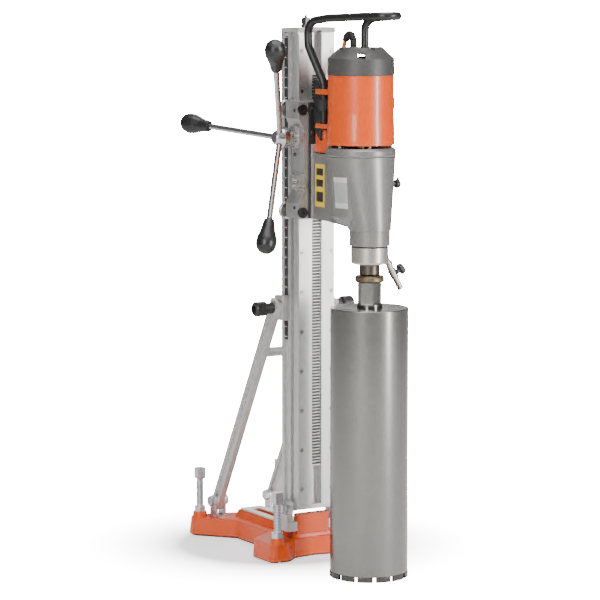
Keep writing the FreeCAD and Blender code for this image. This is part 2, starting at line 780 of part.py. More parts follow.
def build_carriage():
    low, high = size.carriage_bottom, size.carriage_top
    wide, slim = size.carriage_block_half, size.carriage_half
    front = size.carriage_front
    silhouette = [
        (-wide, low), (wide, low), (wide, low + 30), (slim, low + 54), (slim, high - 58), (wide, high - 34),
        (wide, high), (-wide, high), (-wide, high - 34), (-slim, high - 58), (-slim, low + 54),
        (-wide, low + 30),
    ]
    body = new_body("carriage_casting")
    depth = 50
    # the XZ plane's sketch is pushed towards -Y
    pad(body, "XZ_Plane", silhouette, depth, -front - depth)
    inner = size.column_half + 2

    def channel(sketch):
        draw_loop(sketch, [(-inner, front + 31), (inner, front + 31), (inner, front + 60), (-inner, front + 60)])

    def pinion_space(sketch):
        draw_loop(sketch, [(-13, front + 2), (13, front + 2), (13, front + 40), (-13, front + 40)])

    def axle_holes(sketch):
        for x in (-size.roller_x, size.roller_x):
            for z in (size.roller_low, size.roller_high):
                draw_circle(sketch, x, z, size.axle_radius + 0.01)

    def shaft_bore(sketch):
        draw_circle(sketch, size.column_front - 16, size.feed_z, size.feed_shaft_radius + 0.06)

    pocket(body, "XY_Plane", channel, 400, low - 20, backwards=True)
    pocket(body, "XY_Plane", pinion_space, 50, size.feed_z - 25, backwards=True)
    pocket(body, "XZ_Plane", axle_holes, 400, 0, backwards=True)
    pocket(body, "YZ_Plane", shaft_bore, 200, both_ways=True)
    # the round boss that carries the feed shaft on the left
    boss = rod(24, 12, (-slim - 12, size.column_front - 16, size.feed_z), TO_X)
    boss_bore = rod(size.feed_shaft_radius + 0.06, 14, (-slim - 13, size.column_front - 16, size.feed_z), TO_X)
    ring_holes = []
    for number in range(6):
        angle = math.radians(30 + 60 * number)
        y = size.column_front - 16 + 18 * math.cos(angle)
        z = size.feed_z + 18 * math.sin(angle)
        ring_holes.append(rod(2, 6, (-slim - 13, y, z), TO_X))
    # the block that carries the lock, with its bore for the lock screw
    lock_block = box((-slim - 4, front + 2, LOCK_Z - 17), (-slim, front + 36, LOCK_Z + 17))
    lock_bore = rod(7.06, 40, (-slim - 5, LOCK_Y, LOCK_Z), TO_X)
    keep("carriage_body", cut(fuse(body, boss, lock_block), boss_bore, lock_bore, *ring_holes))

    axles = []
    for x in (-size.roller_x, size.roller_x):
        for z in (size.roller_low, size.roller_high):
            reach = -front + float(size.roller_y) + 5.5
            pin = rod(size.axle_radius, reach, (x, front, z), TO_Y)
            head = rod(10.5, 4.5, (x, front - 4.5, z), TO_Y)
            socket = prism(6, 8, 3, (x, front - 4.6, z), TO_Y)
            axles.append(cut(fuse(pin, head), socket))
    keep("roller_axles", group(*axles))

    for side, x in (("left", -size.roller_x), ("right", size.roller_x)):
        for level, z in (("low", size.roller_low), ("high", size.roller_high)):
            r, w, bore = size.roller_radius, size.roller_width, size.axle_radius + 0.05
            profile = [(bore, -w / 2 - 1), (9, -w / 2 - 1), (9, -w / 2), (r - 2, -w / 2), (r, -w / 2 + 2),
                       (r, w / 2 - 2), (r - 2, w / 2), (9, w / 2), (9, w / 2 + 1), (bore, w / 2 + 1)]
            keep(f"roller_{level}_{side}", turned("roller", profile, (x, size.roller_y, z), TO_Y))

    # the dark plate on the front of the carriage
    plate_low, plate_high = low + 2, high - 2
    plate = new_body("front_plate")
    narrow = slim - 2
    shape = [(-narrow + 8, plate_low), (narrow - 8, plate_low), (narrow - 8, plate_high), (-narrow + 8, plate_high)]
    pad(plate, "XZ_Plane", shape, 3, -front)
    keep("mount_plate", plate)


LOCK_Y, LOCK_Z = -165, 762


def build_lock():
    """The carriage lock: a stub screw with a square collar, a brass centre and a short flat lever."""
    x = -size.carriage_half - 4
    stub = side_rod(7, x - 10, x + 24, LOCK_Y, LOCK_Z)
    collar = box((x - 8.2, LOCK_Y - 14, LOCK_Z - 14), (x - 0.3, LOCK_Y + 14, LOCK_Z + 14))
    centre = side_rod(8, x - 12, x - 8, LOCK_Y, LOCK_Z)
    lever = box((x - 8.2, LOCK_Y - 40, LOCK_Z - 7), (x - 3.2, LOCK_Y, LOCK_Z + 7))
    keep("lock_lever", fuse(stub, collar, centre, lever))


def build_feed():
    """The feed shaft with its pinion, the hub outside, three spokes and their knobs."""
    y, z = size.column_front - 16, size.feed_z
    half_width = 9.5
    hub_end = float(size.hub_x) - 14
    shaft = side_rod(size.feed_shaft_radius, hub_end + 20, 40, y, z)
    teeth = int(size.pinion_teeth)
    # a tooth of the pinion points straight at the rack, +Y, into the gap at the shaft's height
    pinion = feature(gear_shape(float(size.gear_module), teeth, 2 * half_width), "pinion")
    pinion.Placement = Placement(Vector(-half_width, float(y), float(z)),
                                 Rotation(Vector(0, 1, 0), Vector(0, 0, 1), Vector(1, 0, 0), "ZXY"))
    sleeve = side_rod(15, -size.carriage_half - 21, -size.carriage_half - 12.4, y, z)
    collar = side_rod(12, float(size.hub_x) + 10, -float(size.carriage_half) - 20, y, z)
    profile = [(0, 0), (10.5, 0), (13, 2.5), (20.5, 16), (20.5, 26), (17, 32), (12, 36), (0, 36)]
    hub = turned("hub", profile, (size.hub_x - 14, y, z), TO_X)
    keep("feed_hub", fuse(shaft, pinion, sleeve, collar, hub))

    spokes, knobs = [], []
    cone_angle = math.radians(float(size.spoke_cone))
    centre = Vector(float(size.hub_x), float(y), float(z))
    for degrees_from_up in (-35.4, 84.6, 204.6):
        a = math.radians(degrees_from_up)
        along = Vector(-math.sin(cone_angle), math.cos(cone_angle) * math.sin(a), math.cos(cone_angle) * math.cos(a))
        turn = Rotation(Vector(0, 0, 1), along)
        start = centre + along * 17
        reach = float(size.spoke_length)
        spokes.append(rod(size.spoke_radius, reach - 40, tuple(start), turn))
        r, length = size.feed_knob_radius, size.feed_knob_length
        neck = 10.5
        knob_profile = [(0, 0), (neck, 0), (neck + 1.2, 6), (neck + 3.5, 20), (r - 1.5, 36), (r, 45), (r, 52),
                        (r - 2.5, 61), (r - 8, 67.5), (r - 15, length), (0, length)]
        knob_start = centre + along * (17 + reach - 40)
        knobs.append(turned("feed_knob", knob_profile, tuple(knob_start), turn))
    keep("feed_spokes", group(*spokes))
    keep("feed_knobs", group(*knobs))


# ======== drill ========


def build_gearbox():
    bit_y, motor_y = size.bit_y, size.motor_y
    adapter = box((-36, -194, 692), (36, -190, 838))
    keep("drill_adapter", adapter)

    body = new_body("gearbox_casting")
    upper = new_sketch(body, "XY_Plane", size.flange_bottom)
    draw_circle(upper, 0, motor_y, size.flange_radius - 1)
    lower = new_sketch(body, "XY_Plane", size.gearbox_bottom)
    draw_circle(lower, 0, bit_y, size.neck_radius + 2)
    loft = body.newObject("PartDesign::AdditiveLoft", "gearbox_shell")
    loft.Profile = upper
    loft.Sections = [lower]
    loft.Ruled = True
    doc.recompute()
    low = size.neck_bottom
    sketch = new_sketch(body, "XY_Plane", low)
    draw_circle(sketch, 0, bit_y, size.neck_radius)
    neck = body.newObject("PartDesign::Pad", "neck")
    neck.Profile = sketch
    bind(neck, "Length", size.gearbox_bottom - low + 3)
    doc.recompute()
    # the block behind, which bolts to the adapter
    block = [(-194, 690), (-194, 820.5), (-262, 820.5), (-330, 700), (-322, 684), (-250, 690)]
    pad(body, "YZ_Plane", block, 66, both_ways=True)
    # the fuller casing round the gears, nearly upright, with a short taper under it
    casing = lofted("casing", [(size.flange_bottom, motor_y, 67), (706, -322, 59)])
    under = lofted("casing_end", [(706, -322, 59), (688, -330, 46)])
    # the space for the gears, open at the top, with the spindle's bore and the selector's
    gear_space = lofted("gear_space", [(size.flange_bottom + 1, motor_y, size.flange_radius - 8),
                                       (size.gearbox_bottom + 12, bit_y, size.neck_radius - 7)])
    bearing_seat = rod(31, 60, (0, bit_y, low + 8))
    spindle_bore = rod(size.spindle_radius + 2, 60, (0, bit_y, low - 5))
    selector_bore = rod(5.06, 60, (20, SELECTOR_Y, SELECTOR_Z), TO_X)
    # the selector's bore is cut in each casting shape before they are joined
    whole = fuse(cut(body, selector_bore), cut(casing, selector_bore), under)
    keep("gearbox_housing", cut(cut(whole, gear_space), fuse(bearing_seat, spindle_bore)))

    ring = turned("bearing", [(size.spindle_radius + 0.05, 0), (30.99, 0), (30.99, 14),
                              (size.spindle_radius + 0.05, 14)], (0, bit_y, low + 8.2))
    keep("spindle_bearing", ring)

    flange_low, flange_high = size.flange_bottom + 0.6, size.flange_top
    r = size.flange_radius
    plate = turned("flange", [(10, flange_low), (r - 1.5, flange_low), (r, flange_low + 3), (r, flange_high - 5),
                              (r - 4, flange_high), (34, flange_high), (30, flange_high - 6),
                              (10, flange_high - 6)], (0, motor_y, 0))
    posts = []
    for number in range(6):
        angle = math.radians(15 + 60 * number)
        x = (float(r) - 9) * math.cos(angle)
        y = float(motor_y) + (float(r) - 9) * math.sin(angle)
        posts.append(rod(3, size.motor_bottom - flange_high + 3, (x, y, flange_high - 3)))
    keep("gearbox_flange", fuse(plate, *posts))


SELECTOR_Y, SELECTOR_Z = -345, 766


def build_gears():
    """Two reductions: rotor to layshaft, layshaft to spindle."""
    motor_y, bit_y = float(size.motor_y), float(size.bit_y)
    lay_x, lay_y = 22.8, -335.4
    # The teeth of each pair mesh on the line between their centres.
    first_line = math.atan2(lay_y - motor_y, lay_x)
    lay_gear = gear_shape(1.25, 36, 14, turn=first_line + math.pi)
    rotor_pinion = gear_shape(1.25, 9, 16, turn=first_line + math.pi / 9)
    second_line = math.atan2(bit_y - lay_y, -lay_x)
    lay_pinion = gear_shape(1.5, 10, 20, turn=second_line)
    spindle_gear = gear_shape(1.5, 28, 16, turn=second_line + math.pi + math.pi / 28)
    lay_gear.translate(Vector(0, 0, 780))
    lay_pinion.translate(Vector(0, 0, 744))
    lay_axle = Part.makeCylinder(5, 86, Vector(0, 0, 728))
    lay = lay_gear.fuse([lay_pinion, lay_axle])
    layshaft = feature(lay, "layshaft")
    layshaft.Placement = Placement(Vector(lay_x, lay_y, 0), Rotation())
    keep("layshaft", layshaft)

    rotor_pinion.translate(Vector(0, 0, 779))
    shaft = Part.makeCylinder(4, 120, Vector(0, 0, 779)).fuse([rotor_pinion])
    shaft = shaft.fuse([Part.makeCylinder(8, 170, Vector(0, 0, 832)), Part.makeCylinder(36, 78, Vector(0, 0, 872)),
                        Part.makeCylinder(50, 3, Vector(0, 0, 850)), Part.makeCylinder(16, 14, Vector(0, 0, 848))])
    blades = []
    for number in range(9):
        blade = Part.makeBox(30, 2, 12, Vector(18, -1, 852))
        blade.rotate(Vector(0, 0, 0), Vector(0, 0, 1), 40 * number)
        blades.append(blade)
    rotor = feature(shaft.fuse(blades), "rotor_assembly")
    rotor.Placement = Placement(Vector(0, motor_y, 0), Rotation())
    keep("rotor", rotor)

    spindle_gear.translate(Vector(0, bit_y, 746))
    return spindle_gear


def build_spindle(spindle_gear):
    r = size.spindle_radius
    shaft = turned("spindle_shaft", [(0, 592), (r - 2, 592), (r, 594), (r, 700), (13, 704), (13, 775), (0, 775)],
                   (0, size.bit_y, 0))
    keep("spindle", fuse(shaft, feature(spindle_gear, "spindle_gear")))
    nut = turned("nut", [(10, 578.5), (26, 578.5), (28.5, 581), (28.5, 588), (26, 591.5), (10, 591.5)],
                 (0, size.bit_y, 0))
    keep("spindle_nut", nut)

    top, bottom = size.bit_top, size.segment_height
    radius, wall = size.bit_radius, size.bit_wall
    barrel = turned("barrel", [
        (radius - wall, bottom), (radius, bottom), (radius, top - 1), (radius - 1, top), (25, top),
        (25, top + 7), (0, top + 7), (0, top - 8), (radius - wall, top - 8),
    ], (0, size.bit_y, 0))
    hexagon = prism(6, 41, 42, (0, size.bit_y, top + 7))
    hexagon.Placement = Placement(hexagon.Placement.Base, Rotation(Vector(0, 0, 1), 15))
    segments = []
    count = int(size.segments)
    for number in range(count):
        segments.append(segment_shape(number * 360.0 / count))
    crown = feature(Part.makeCompound(segments), "crown")
    crown.Placement = Placement(Vector(0, float(size.bit_y), 0), Rotation())
    keep("core_bit", group(fuse(barrel, hexagon), crown))


def segment_shape(turn):
    """One sintered block of the crown, a little thicker than the tube's wall."""
    outer = float(size.bit_radius) + 0.9
    inner = float(size.bit_radius - size.bit_wall) - 0.9
    height = float(size.segment_height)
    ring = Part.makeCylinder(outer, height, Vector(0, 0, 0), Vector(0, 0, 1), 22.5)
    ring = ring.cut(Part.makeCylinder(inner, height + 2, Vector(0, 0, -1)))
    ring.rotate(Vector(0, 0, 0), Vector(0, 0, 1), turn)
    return ring


def build_water():
    r = size.collar_radius
    low, high = size.collar_bottom, size.collar_top
    bore = size.spindle_radius + 0.06
    collar = turned("collar", [(bore, low), (r - 5, low), (r - 1.5, low + 1.5), (r, low + 5), (r, high),
                               (bore, high)], (0, size.bit_y, 0))
    keep("water_collar", collar)
    # the inlet runs out to the right and down
    y = float(size.bit_y)
    along = Vector(0.5, 0.0, -0.866)
    start = Vector(30, y - 8, 626)
    turn = Rotation(Vector(0, 0, 1), along)
    pieces = []
    reach = 0.0
    for length, radius in ((14, 7), (4, 9), (12, 6.5), (3, 8.5), (14, 7.5), (26, 6.2)):
        point = start + along * reach
        pieces.append(rod(radius, length + 0.2, tuple(point), turn))
        reach += length
    clear = rod(r + 0.2, 40, (0, size.bit_y, 605))
    stem_from = start + along * 40
    keep("water_inlet", cut(fuse(*pieces), clear))
    side = Vector(0.866, 0.0, 0.5)
    knob_turn = Rotation(Vector(0, 0, 1), side)
    at = stem_from + side * 7.9
    hub = rod(5, 16, tuple(at), knob_turn)
    wings = []
    for number in range(5):
        offset = Rotation(side, 72 * number).multVec(along) * 8.0
        wings.append(rod(3.4, 8, tuple(at + side * 8 + offset), knob_turn))
    plate = rod(9.5, 8, tuple(at + side * 8), knob_turn)
    keep("valve_knob", fuse(hub, plate, *wings))


def build_motor():
    y = size.motor_y
    r, wall = size.motor_radius, size.shell_wall
    low, high = size.motor_bottom, size.motor_top
    shell = turned("shell", [
        (r - wall, low), (r + 2, low), (r + 2, low + 10), (r, low + 60), (r, high), (r - wall, high),
    ], (0, y, 0))
    # the orange part behind the motor, over the adapter
    rear = new_body("rear_fairing")
    outline = [(-194.6, 823), (-194.6, 893), (-206, 893), (-262, 846), (-262, 823)]
    pad(rear, "YZ_Plane", outline, 56, both_ways=True)
    below = rod(size.flange_radius + 0.6, 24, (0, y, size.motor_bottom - 24))
    inside = rod(r - wall + 0.5, 70, (0, y, size.motor_bottom - 1))
    grip_space = rod(8.3, 60, (GRIP_X, GRIP_Y, 850))
    fairing = cut(rear, below, inside, grip_space)
    clips = []
    for low_z, high_z in ((872, 880), (938, 948)):
        clip = box((-43, -262, low_z), (-19, -219, high_z))
        tube_space = rod(8.02, 20, (GRIP_X, GRIP_Y, low_z - 5))
        motor_space = rod(r - wall + 0.5, 20, (0, y, low_z - 5))
        clips.append(cut(clip, tube_space, motor_space))
    keep("motor_housing", fuse(shell, fairing, *clips))

    top = size.cap_top
    cap = turned("cap", [
        (r - wall, high + 0.2), (r + 1, high + 0.2), (r + 0.5, high + 32), (r - 22, top), (0, top), (0, top - 5),
        (r - 24, top - 5), (r - wall, high + 30),
    ], (0, y, 0))
    post_hole = rod(8.01, 30, (0, POST_Y, top - 20))
    boot_hole = rod(6.52, 30, (0, BOOT_Y, top - 20))
    notches = []
    for degrees in (-129, -42, 51, 141):
        a = math.radians(degrees)
        x = (float(r) - 2) * math.cos(a)
        ny = float(y) + (float(r) - 2) * math.sin(a)
        notch = box((-8, -7, 0), (8, 7, 24))
        notch.Placement = Placement(Vector(x, ny, float(high) + 22), Rotation(Vector(0, 0, 1), degrees + 90))
        notches.append(notch)
    keep("motor_cap", cut(cap, post_hole, boot_hole, *notches))

    windings = turned("windings", [(37, 876), (r - wall - 0.01, 876), (r - wall - 0.01, 946), (37, 946)], (0, y, 0))
    keep("stator", windings)

    box_low, box_high = 846, 965
    body = new_body("switch_case")
    outline = [(-192.6, box_high), (-214, box_high), (-216, 900), (-232, 864), (-232, 848), (-218, box_low),
               (-192.6, 870)]
    pad(body, "YZ_Plane", outline, 63, both_ways=True)
    fairing_space = box((-28.3, -270, 822), (28.3, -180, 893.4))
    grip_space = rod(8.3, 200, (GRIP_X, GRIP_Y, 800))
    clip_space = box((-44, -270, 871.6), (-19, -218.6, 880.4))
    high_clip_space = box((-44, -270, 937.6), (-19, -218.6, 948.4))
    switch_hole = box((-8.3, -217, 918.8), (8.3, -200, 947.2))
    pivot_bore = rod(1.55, 20, (-10, -210.4, 933), TO_X)
    rocker_space = fuse(switch_hole, pivot_bore)
    keep("switch_box", cut(body, fairing_space, grip_space, clip_space, high_clip_space, rocker_space))

    rocker = box((-8, -216.5, 920.3), (8, -204.3, 945.7))
    pivot = rod(1.5, 19, (-9.5, -210.4, 933), TO_X)
    keep("power_switch", fuse(rocker, pivot))

    knob = turned("selector", [(0, 0), (5, 0), (5, 16), (7.5, 16), (8.5, 18), (8.5, 24), (7, 26), (0, 26)],
                  (46, SELECTOR_Y, SELECTOR_Z), TO_X)
    pointer = box((66, SELECTOR_Y - 2, SELECTOR_Z), (70.5, SELECTOR_Y + 2, SELECTOR_Z + 12))
    keep("gear_selector", fuse(knob, pointer))


GRIP_X, GRIP_Y = -30, -230
POST_Y = -333
BOOT_Y = -291


def build_handle():
    """One bent tube: up behind the motor on the left, forward over it, round the front, back to the cap."""
    points = [
        (GRIP_X, GRIP_Y, 868), (GRIP_X, GRIP_Y, 958), (-46, -198, 1030), (-44, -190, 1078), (-34, -250, 1086),
        (-30, -372, 1091), (-20, -430, 1093), (20, -430, 1093), (26, -385, 1091), (0, POST_Y, 1086),
        (0, POST_Y, float(size.cap_top) - 6),
    ]
    radii = [45, 40, 26, 70, 70, 22, 22, 26, 25]
    path = bent_path(points, radii)
    keep("carry_handle", feature(tube_shape(path, 8), "handle_tube"))


def build_cable():
    top = float(size.cap_top)
    arch = bent_path([(0, BOOT_Y, top - 4), (0, BOOT_Y, top + 12), (0, -277, top + 26), (0, -262, top + 14)],
                     [9, 9])
    keep("cable_boot", feature(tube_shape(arch, 6.5), "bend_relief"))

    cord = float(size.cord_diameter) / 2
    hank_x, hank_y, hank_z = float(size.hank_x), float(size.hank_y), float(size.hank_z)
    half, run = float(size.hank_half), float(size.hank_run)
    drop = CABLE_DROP
    radii = free_radii(drop)
    print("cord drop radii", [round(r, 1) for r in radii])
    down = tube_shape(bent_path(drop, radii), cord)
    tail_x = hank_x - 19
    plug_top = PLUG_TOP
    tail_y = hank_y - 22
    tail = Part.makeCylinder(cord, 815 - plug_top, Vector(tail_x, tail_y, plug_top))
    keep("cord_tube", feature(Part.makeCompound([down, tail]), "free_cord"))

    # the folded length: a ring with straight legs, two cords wide and four cords deep
    thick, wide = float(size.hank_thick), float(size.hank_wide)
    outer = stadium(half + wide / 2, run, thick)
    inner = stadium(half - wide / 2, run, thick + 2)
    inner.translate(Vector(0, 1, 0))
    ring = outer.cut(inner)
    hank = feature(ring, "folded_cord")
    hank.Placement = Placement(Vector(hank_x, hank_y + thick / 2, hank_z), Rotation())
    keep("cord_hank", hank)

    plug = turned("plug_body", [(0, 0), (17, 0), (19, 3), (19, 26), (15, 34), (9, 44), (7, 60), (0, 60)],
                  (tail_x, tail_y, plug_top - 60))
    pins = [rod(2.4, 19, (tail_x + side, tail_y, plug_top - 79)) for side in (-9.5, 9.5)]
    keep("plug", fuse(plug, *pins))

    # the strap that holds the folded cable to the grip
    around = strap_outline(2.0).cut(strap_outline(0.0))
    strap = feature(around, "strap_band")
    strap.Placement = Placement(Vector(0, 0, hank_z + 4), Rotation())
    keep("cable_strap", strap)


CABLE_DROP = [(0, -262, 1045), (0, -253, 1029), (4, -247, 1012), (14, -244, 995), (28, -244, 980), (41, -245.5, 962)]
PLUG_TOP = 788


def stadium(radius, run, thick):
    """A rounded slab standing in the XZ plane, reaching back (-Y) by its thickness."""
    low = Part.makeCylinder(radius, thick, Vector(0, 0, -run / 2), Vector(0, -1, 0))
    high = Part.makeCylinder(radius, thick, Vector(0, 0, run / 2), Vector(0, -1, 0))
    middle = Part.makeBox(2 * radius, thick, run, Vector(-radius, -thick, -run / 2))
    return low.fuse([high, middle]).removeSplitter()


def strap_outline(grow):
    """The band's outline round the grip and both sides of the folded cable, as a solid 22 high."""
    height = 22
    right = float(size.hank_x + size.hank_half + size.hank_wide / 2)
    y = float(size.hank_y)
    half = float(size.hank_thick) / 2 + 0.3
    r = 9 + grow
    corner = 5 + grow
    left_round = Part.makeCylinder(r, height, Vector(GRIP_X, GRIP_Y, 0))
    slab = Part.makeBox(right + 0.3 - corner + grow - GRIP_X, 2 * (9 + grow), height,
                        Vector(GRIP_X, GRIP_Y - 9 - grow, 0))
    hank_box = Part.makeBox(81.6 + 2 * grow, 2 * (half + grow), height,
                            Vector(right - 81.3 - grow, y - half - grow, 0))
    return left_round.fuse([slab, hank_box]).removeSplitter()


build_base()
build_levelling()
build_saddle()
build_brace_brackets()
build_pivot_bolts()
build_braces()
build_brace_clamps()
build_column()
build_rack()
build_column_cap()
build_carriage()
build_lock()
build_feed()
build_gearbox()
build_spindle(build_gears())
build_water()
build_motor()
build_handle()
build_cable()
doc.recompute()

for thing in doc.Objects:
    if {"Invalid", "Error"} & set(thing.State):
        raise ValueError(f"{thing.Name} failed: {thing.State}")
os.makedirs("parts", exist_ok=True)
for label, thing in nodes.items():
    shape = thing.Shape
    if shape.isNull() or not shape.isValid() or not shape.Solids:
        raise ValueError(f"{label} has no valid solid")
    shape.exportStep(f"parts/{label}.step")
print(f"{len(nodes)} sub-parts written")
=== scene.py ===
# %% [markdown]
# A rig-mounted core drill: an orange base, a light column that can lean back on two braces, a geared
# carriage with a three-spoke feed handle, and on it the motor, its gearbox and a long steel core bit.
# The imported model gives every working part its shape, its size and its place. This lesson gives those parts
# their finishes, and adds what is too fine or too soft for the mechanics: threads, screws, ribs, scale marks,
# plates and the mains cable. Lengths are in metres, and the drill hangs on the front of the column, at -Y.

# %% The frame
import math

import bpy
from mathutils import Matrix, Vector


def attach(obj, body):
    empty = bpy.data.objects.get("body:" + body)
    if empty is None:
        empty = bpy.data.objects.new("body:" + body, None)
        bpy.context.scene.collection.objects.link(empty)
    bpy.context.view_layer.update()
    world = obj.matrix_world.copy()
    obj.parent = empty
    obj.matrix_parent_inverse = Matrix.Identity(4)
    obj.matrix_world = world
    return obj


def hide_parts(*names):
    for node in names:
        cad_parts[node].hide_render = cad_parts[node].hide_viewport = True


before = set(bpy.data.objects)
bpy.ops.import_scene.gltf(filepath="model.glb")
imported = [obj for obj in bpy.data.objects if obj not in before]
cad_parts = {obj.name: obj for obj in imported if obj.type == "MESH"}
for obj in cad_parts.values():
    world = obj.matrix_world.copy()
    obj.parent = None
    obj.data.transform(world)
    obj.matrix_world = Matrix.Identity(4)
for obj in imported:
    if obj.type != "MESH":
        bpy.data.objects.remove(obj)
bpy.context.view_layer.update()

scene = bpy.context.scene
mm = 0.001

# %% [markdown]
# The camera stands well back with a long lens, a little above the middle and to the left of the drill, so
# that the upright lines of the column and the bit stay almost parallel.

# %% Camera
lens = bpy.data.cameras.new("camera")
lens.lens = 168
lens.sensor_width = 36
camera = bpy.data.objects.new("camera", lens)
camera.location = (-2.854, -4.932, 1.196)
camera.rotation_euler = (math.radians(90 - 6.9), 0, math.radians(-30.5))
scene.collection.objects.link(camera)
scene.camera = camera

# %% [markdown]
# Studio light. A broad lamp stands to the left of the camera, and a narrow strong one to the right draws a
# bright band down the steel bit. One behind gives the edges a thin rim and one above lights what faces up.
# The surroundings are dark except where the camera sees them: dark gaps are what makes bright metal look
# like metal.

# %% Floor and light


def lamp(name, place, target, width, height, power):
    """A rectangular lamp that looks at a point."""
    data = bpy.data.lights.new(name, "AREA")
    data.shape = "RECTANGLE"
    data.size = width
    data.size_y = height
    data.energy = power
    thing = bpy.data.objects.new(name, data)
    thing.location = place
    thing.rotation_euler = (Vector(target) - Vector(place)).to_track_quat("-Z", "Y").to_euler()
    scene.collection.objects.link(thing)


middle = (0, -0.15, 0.55)
lamp("key_lamp", (-3.2, -2.6, 2.2), middle, 1.0, 2.8, 140)
lamp("fill_lamp", (1.9, -4.1, 1.4), middle, 0.6, 2.6, 190)
lamp("rim_lamp", (1.8, 2.8, 2.6), middle, 2.0, 2.0, 80)
lamp("top_lamp", (0, -0.6, 3.6), middle, 2.6, 2.6, 105)

PURE_WHITE = 60.0  # strength at which the surroundings are seen as plain white
AMBIENT = 0.16  # strength with which they light the drill

world = bpy.data.worlds.new("studio")
world.use_nodes = True
backdrop = world.node_tree.nodes["Background"]
backdrop.inputs["Color"].default_value = (1, 1, 1, 1)
seen = world.node_tree.nodes.new("ShaderNodeLightPath").outputs["Is Camera Ray"]
brightness = world.node_tree.nodes.new("ShaderNodeMapRange")
brightness.inputs["To Min"].default_value = AMBIENT
brightness.inputs["To Max"].default_value = PURE_WHITE
world.node_tree.links.new(seen, brightness.inputs["Value"])
world.node_tree.links.new(brightness.outputs[0], backdrop.inputs["Strength"])
scene.world = world

floor_mesh = bpy.data.meshes.new("floor")
reach = 300
floor_mesh.from_pydata([(-reach, -reach, 0), (reach, -reach, 0), (reach, reach, 0), (-reach, reach, 0)], [],
                       [(0, 1, 2, 3)])
floor = bpy.data.objects.new("floor", floor_mesh)
floor.location.z = -0.0005
scene.collection.objects.link(floor)
pale = bpy.data.materials.new("pale_floor")
pale.use_nodes = True
pale_tree = pale.node_tree
pale_shader = pale_tree.nodes["Principled BSDF"]
pale_shader.inputs["Base Color"].default_value = (0.92, 0.92, 0.92, 1)
pale_shader.inputs["Roughness"].default_value = 0.9
spot = pale_tree.nodes.new("ShaderNodeTexCoord").outputs["Object"]
away = pale_tree.nodes.new("ShaderNodeVectorMath")
away.operation = "LENGTH"
pale_tree.links.new(spot, away.inputs[0])
fade = pale_tree.nodes.new("ShaderNodeMapRange")
for socket, value in ((1, 0.20), (2, 1.0), (3, 0.012), (4, 1.0)):
    fade.inputs[socket].default_value = value
pale_tree.links.new(away.outputs["Value"], fade.inputs[0])
seen = pale_tree.nodes.new("ShaderNodeLightPath").outputs["Is Camera Ray"]
white_share = pale_tree.nodes.new("ShaderNodeMath")
white_share.operation = "MULTIPLY"
pale_tree.links.new(fade.outputs[0], white_share.inputs[0])
pale_tree.links.new(seen, white_share.inputs[1])
glow = pale_tree.nodes.new("ShaderNodeEmission")
glow.inputs["Strength"].default_value = PURE_WHITE
mixed = pale_tree.nodes.new("ShaderNodeMixShader")
pale_tree.links.new(white_share.outputs[0], mixed.inputs[0])
pale_tree.links.new(pale_shader.outputs[0], mixed.inputs[1])
pale_tree.links.new(glow.outputs[0], mixed.inputs[2])
pale_tree.links.new(mixed.outputs[0], pale_tree.nodes["Material Output"].inputs["Surface"])
floor_mesh.materials.append(pale)
print("four lamps and a pale floor")

# %% [markdown]
# A finish is more than a colour. Five effects are shared between finishes, so each is a node group of its
# own: an uneven tone, a fine grain that can be drawn out along one direction, softened edges that catch the
# light and show wear, a little dust on what faces up, and a band of another tone. Each group gives only
# colours, masks, heights or normals; the shader itself stays in the material.

# %% Node helpers


def add(tree, kind, wires=None, **settings):
    """Adds a node, with its settings, and with each named input wired or set."""
    made = tree.nodes.new(kind)
    for key, value in settings.items():
        setattr(made, key, value)
    for socket, value in (wires or {}).items():
        if isinstance(value, bpy.types.NodeSocket):
            tree.links.new(value, made.inputs[socket])
        else:
            made.inputs[socket].default_value = value
    return made


def effect(name, inputs, outputs):
    """An empty shader node group with named sockets."""
    tree = bpy.data.node_groups.new(name, "ShaderNodeTree")
    for label, kind, value in inputs:
        tree.interface.new_socket(label, in_out="INPUT",
                                  socket_type="NodeSocket" + kind).default_value = value
    for label, kind in outputs:
        tree.interface.new_socket(label, in_out="OUTPUT", socket_type="NodeSocket" + kind)
    return tree, add(tree, "NodeGroupInput").outputs, add(tree, "NodeGroupOutput").inputs


# %% Shared effects
uneven_tone, given, result = effect(
    "uneven_tone",
    [("Colour", "Color", (0.5, 0.5, 0.5, 1)), ("Second", "Color", (0.4, 0.4, 0.4, 1)),
     ("Scale", "Float", 20.0), ("Amount", "Float", 0.5)],
    [("Colour", "Color")])
spot = add(uneven_tone, "ShaderNodeTexCoord").outputs["Object"]
cloud = add(uneven_tone, "ShaderNodeTexNoise", {"Vector": spot, "Scale": given["Scale"], "Detail": 5.0,
                                                "Roughness": 0.6})
level = add(uneven_tone, "ShaderNodeMapRange", {0: cloud.outputs[0], 1: 0.36, 2: 0.66, 3: 0.0, 4: 1.0})
share = add(uneven_tone, "ShaderNodeMath", {0: level.outputs[0], 1: given["Amount"]}, operation="MULTIPLY")
blend = add(uneven_tone, "ShaderNodeMix", {0: share.outputs[0], 6: given["Colour"], 7: given["Second"]},
            data_type="RGBA")
uneven_tone.links.new(blend.outputs[2], result["Colour"])

drawn_grain, given, result = effect(
    "drawn_grain", [("Scale", "Float", 400.0), ("Stretch", "Vector", (1, 1, 1))], [("Height", "Float")])
spot = add(drawn_grain, "ShaderNodeTexCoord").outputs["Object"]
pulled = add(drawn_grain, "ShaderNodeVectorMath", {0: spot, 1: given["Stretch"]}, operation="MULTIPLY")
cloud = add(drawn_grain, "ShaderNodeTexNoise", {"Vector": pulled.outputs[0], "Scale": given["Scale"],
                                                "Detail": 3.0, "Roughness": 0.55})
drawn_grain.links.new(cloud.outputs[0], result["Height"])

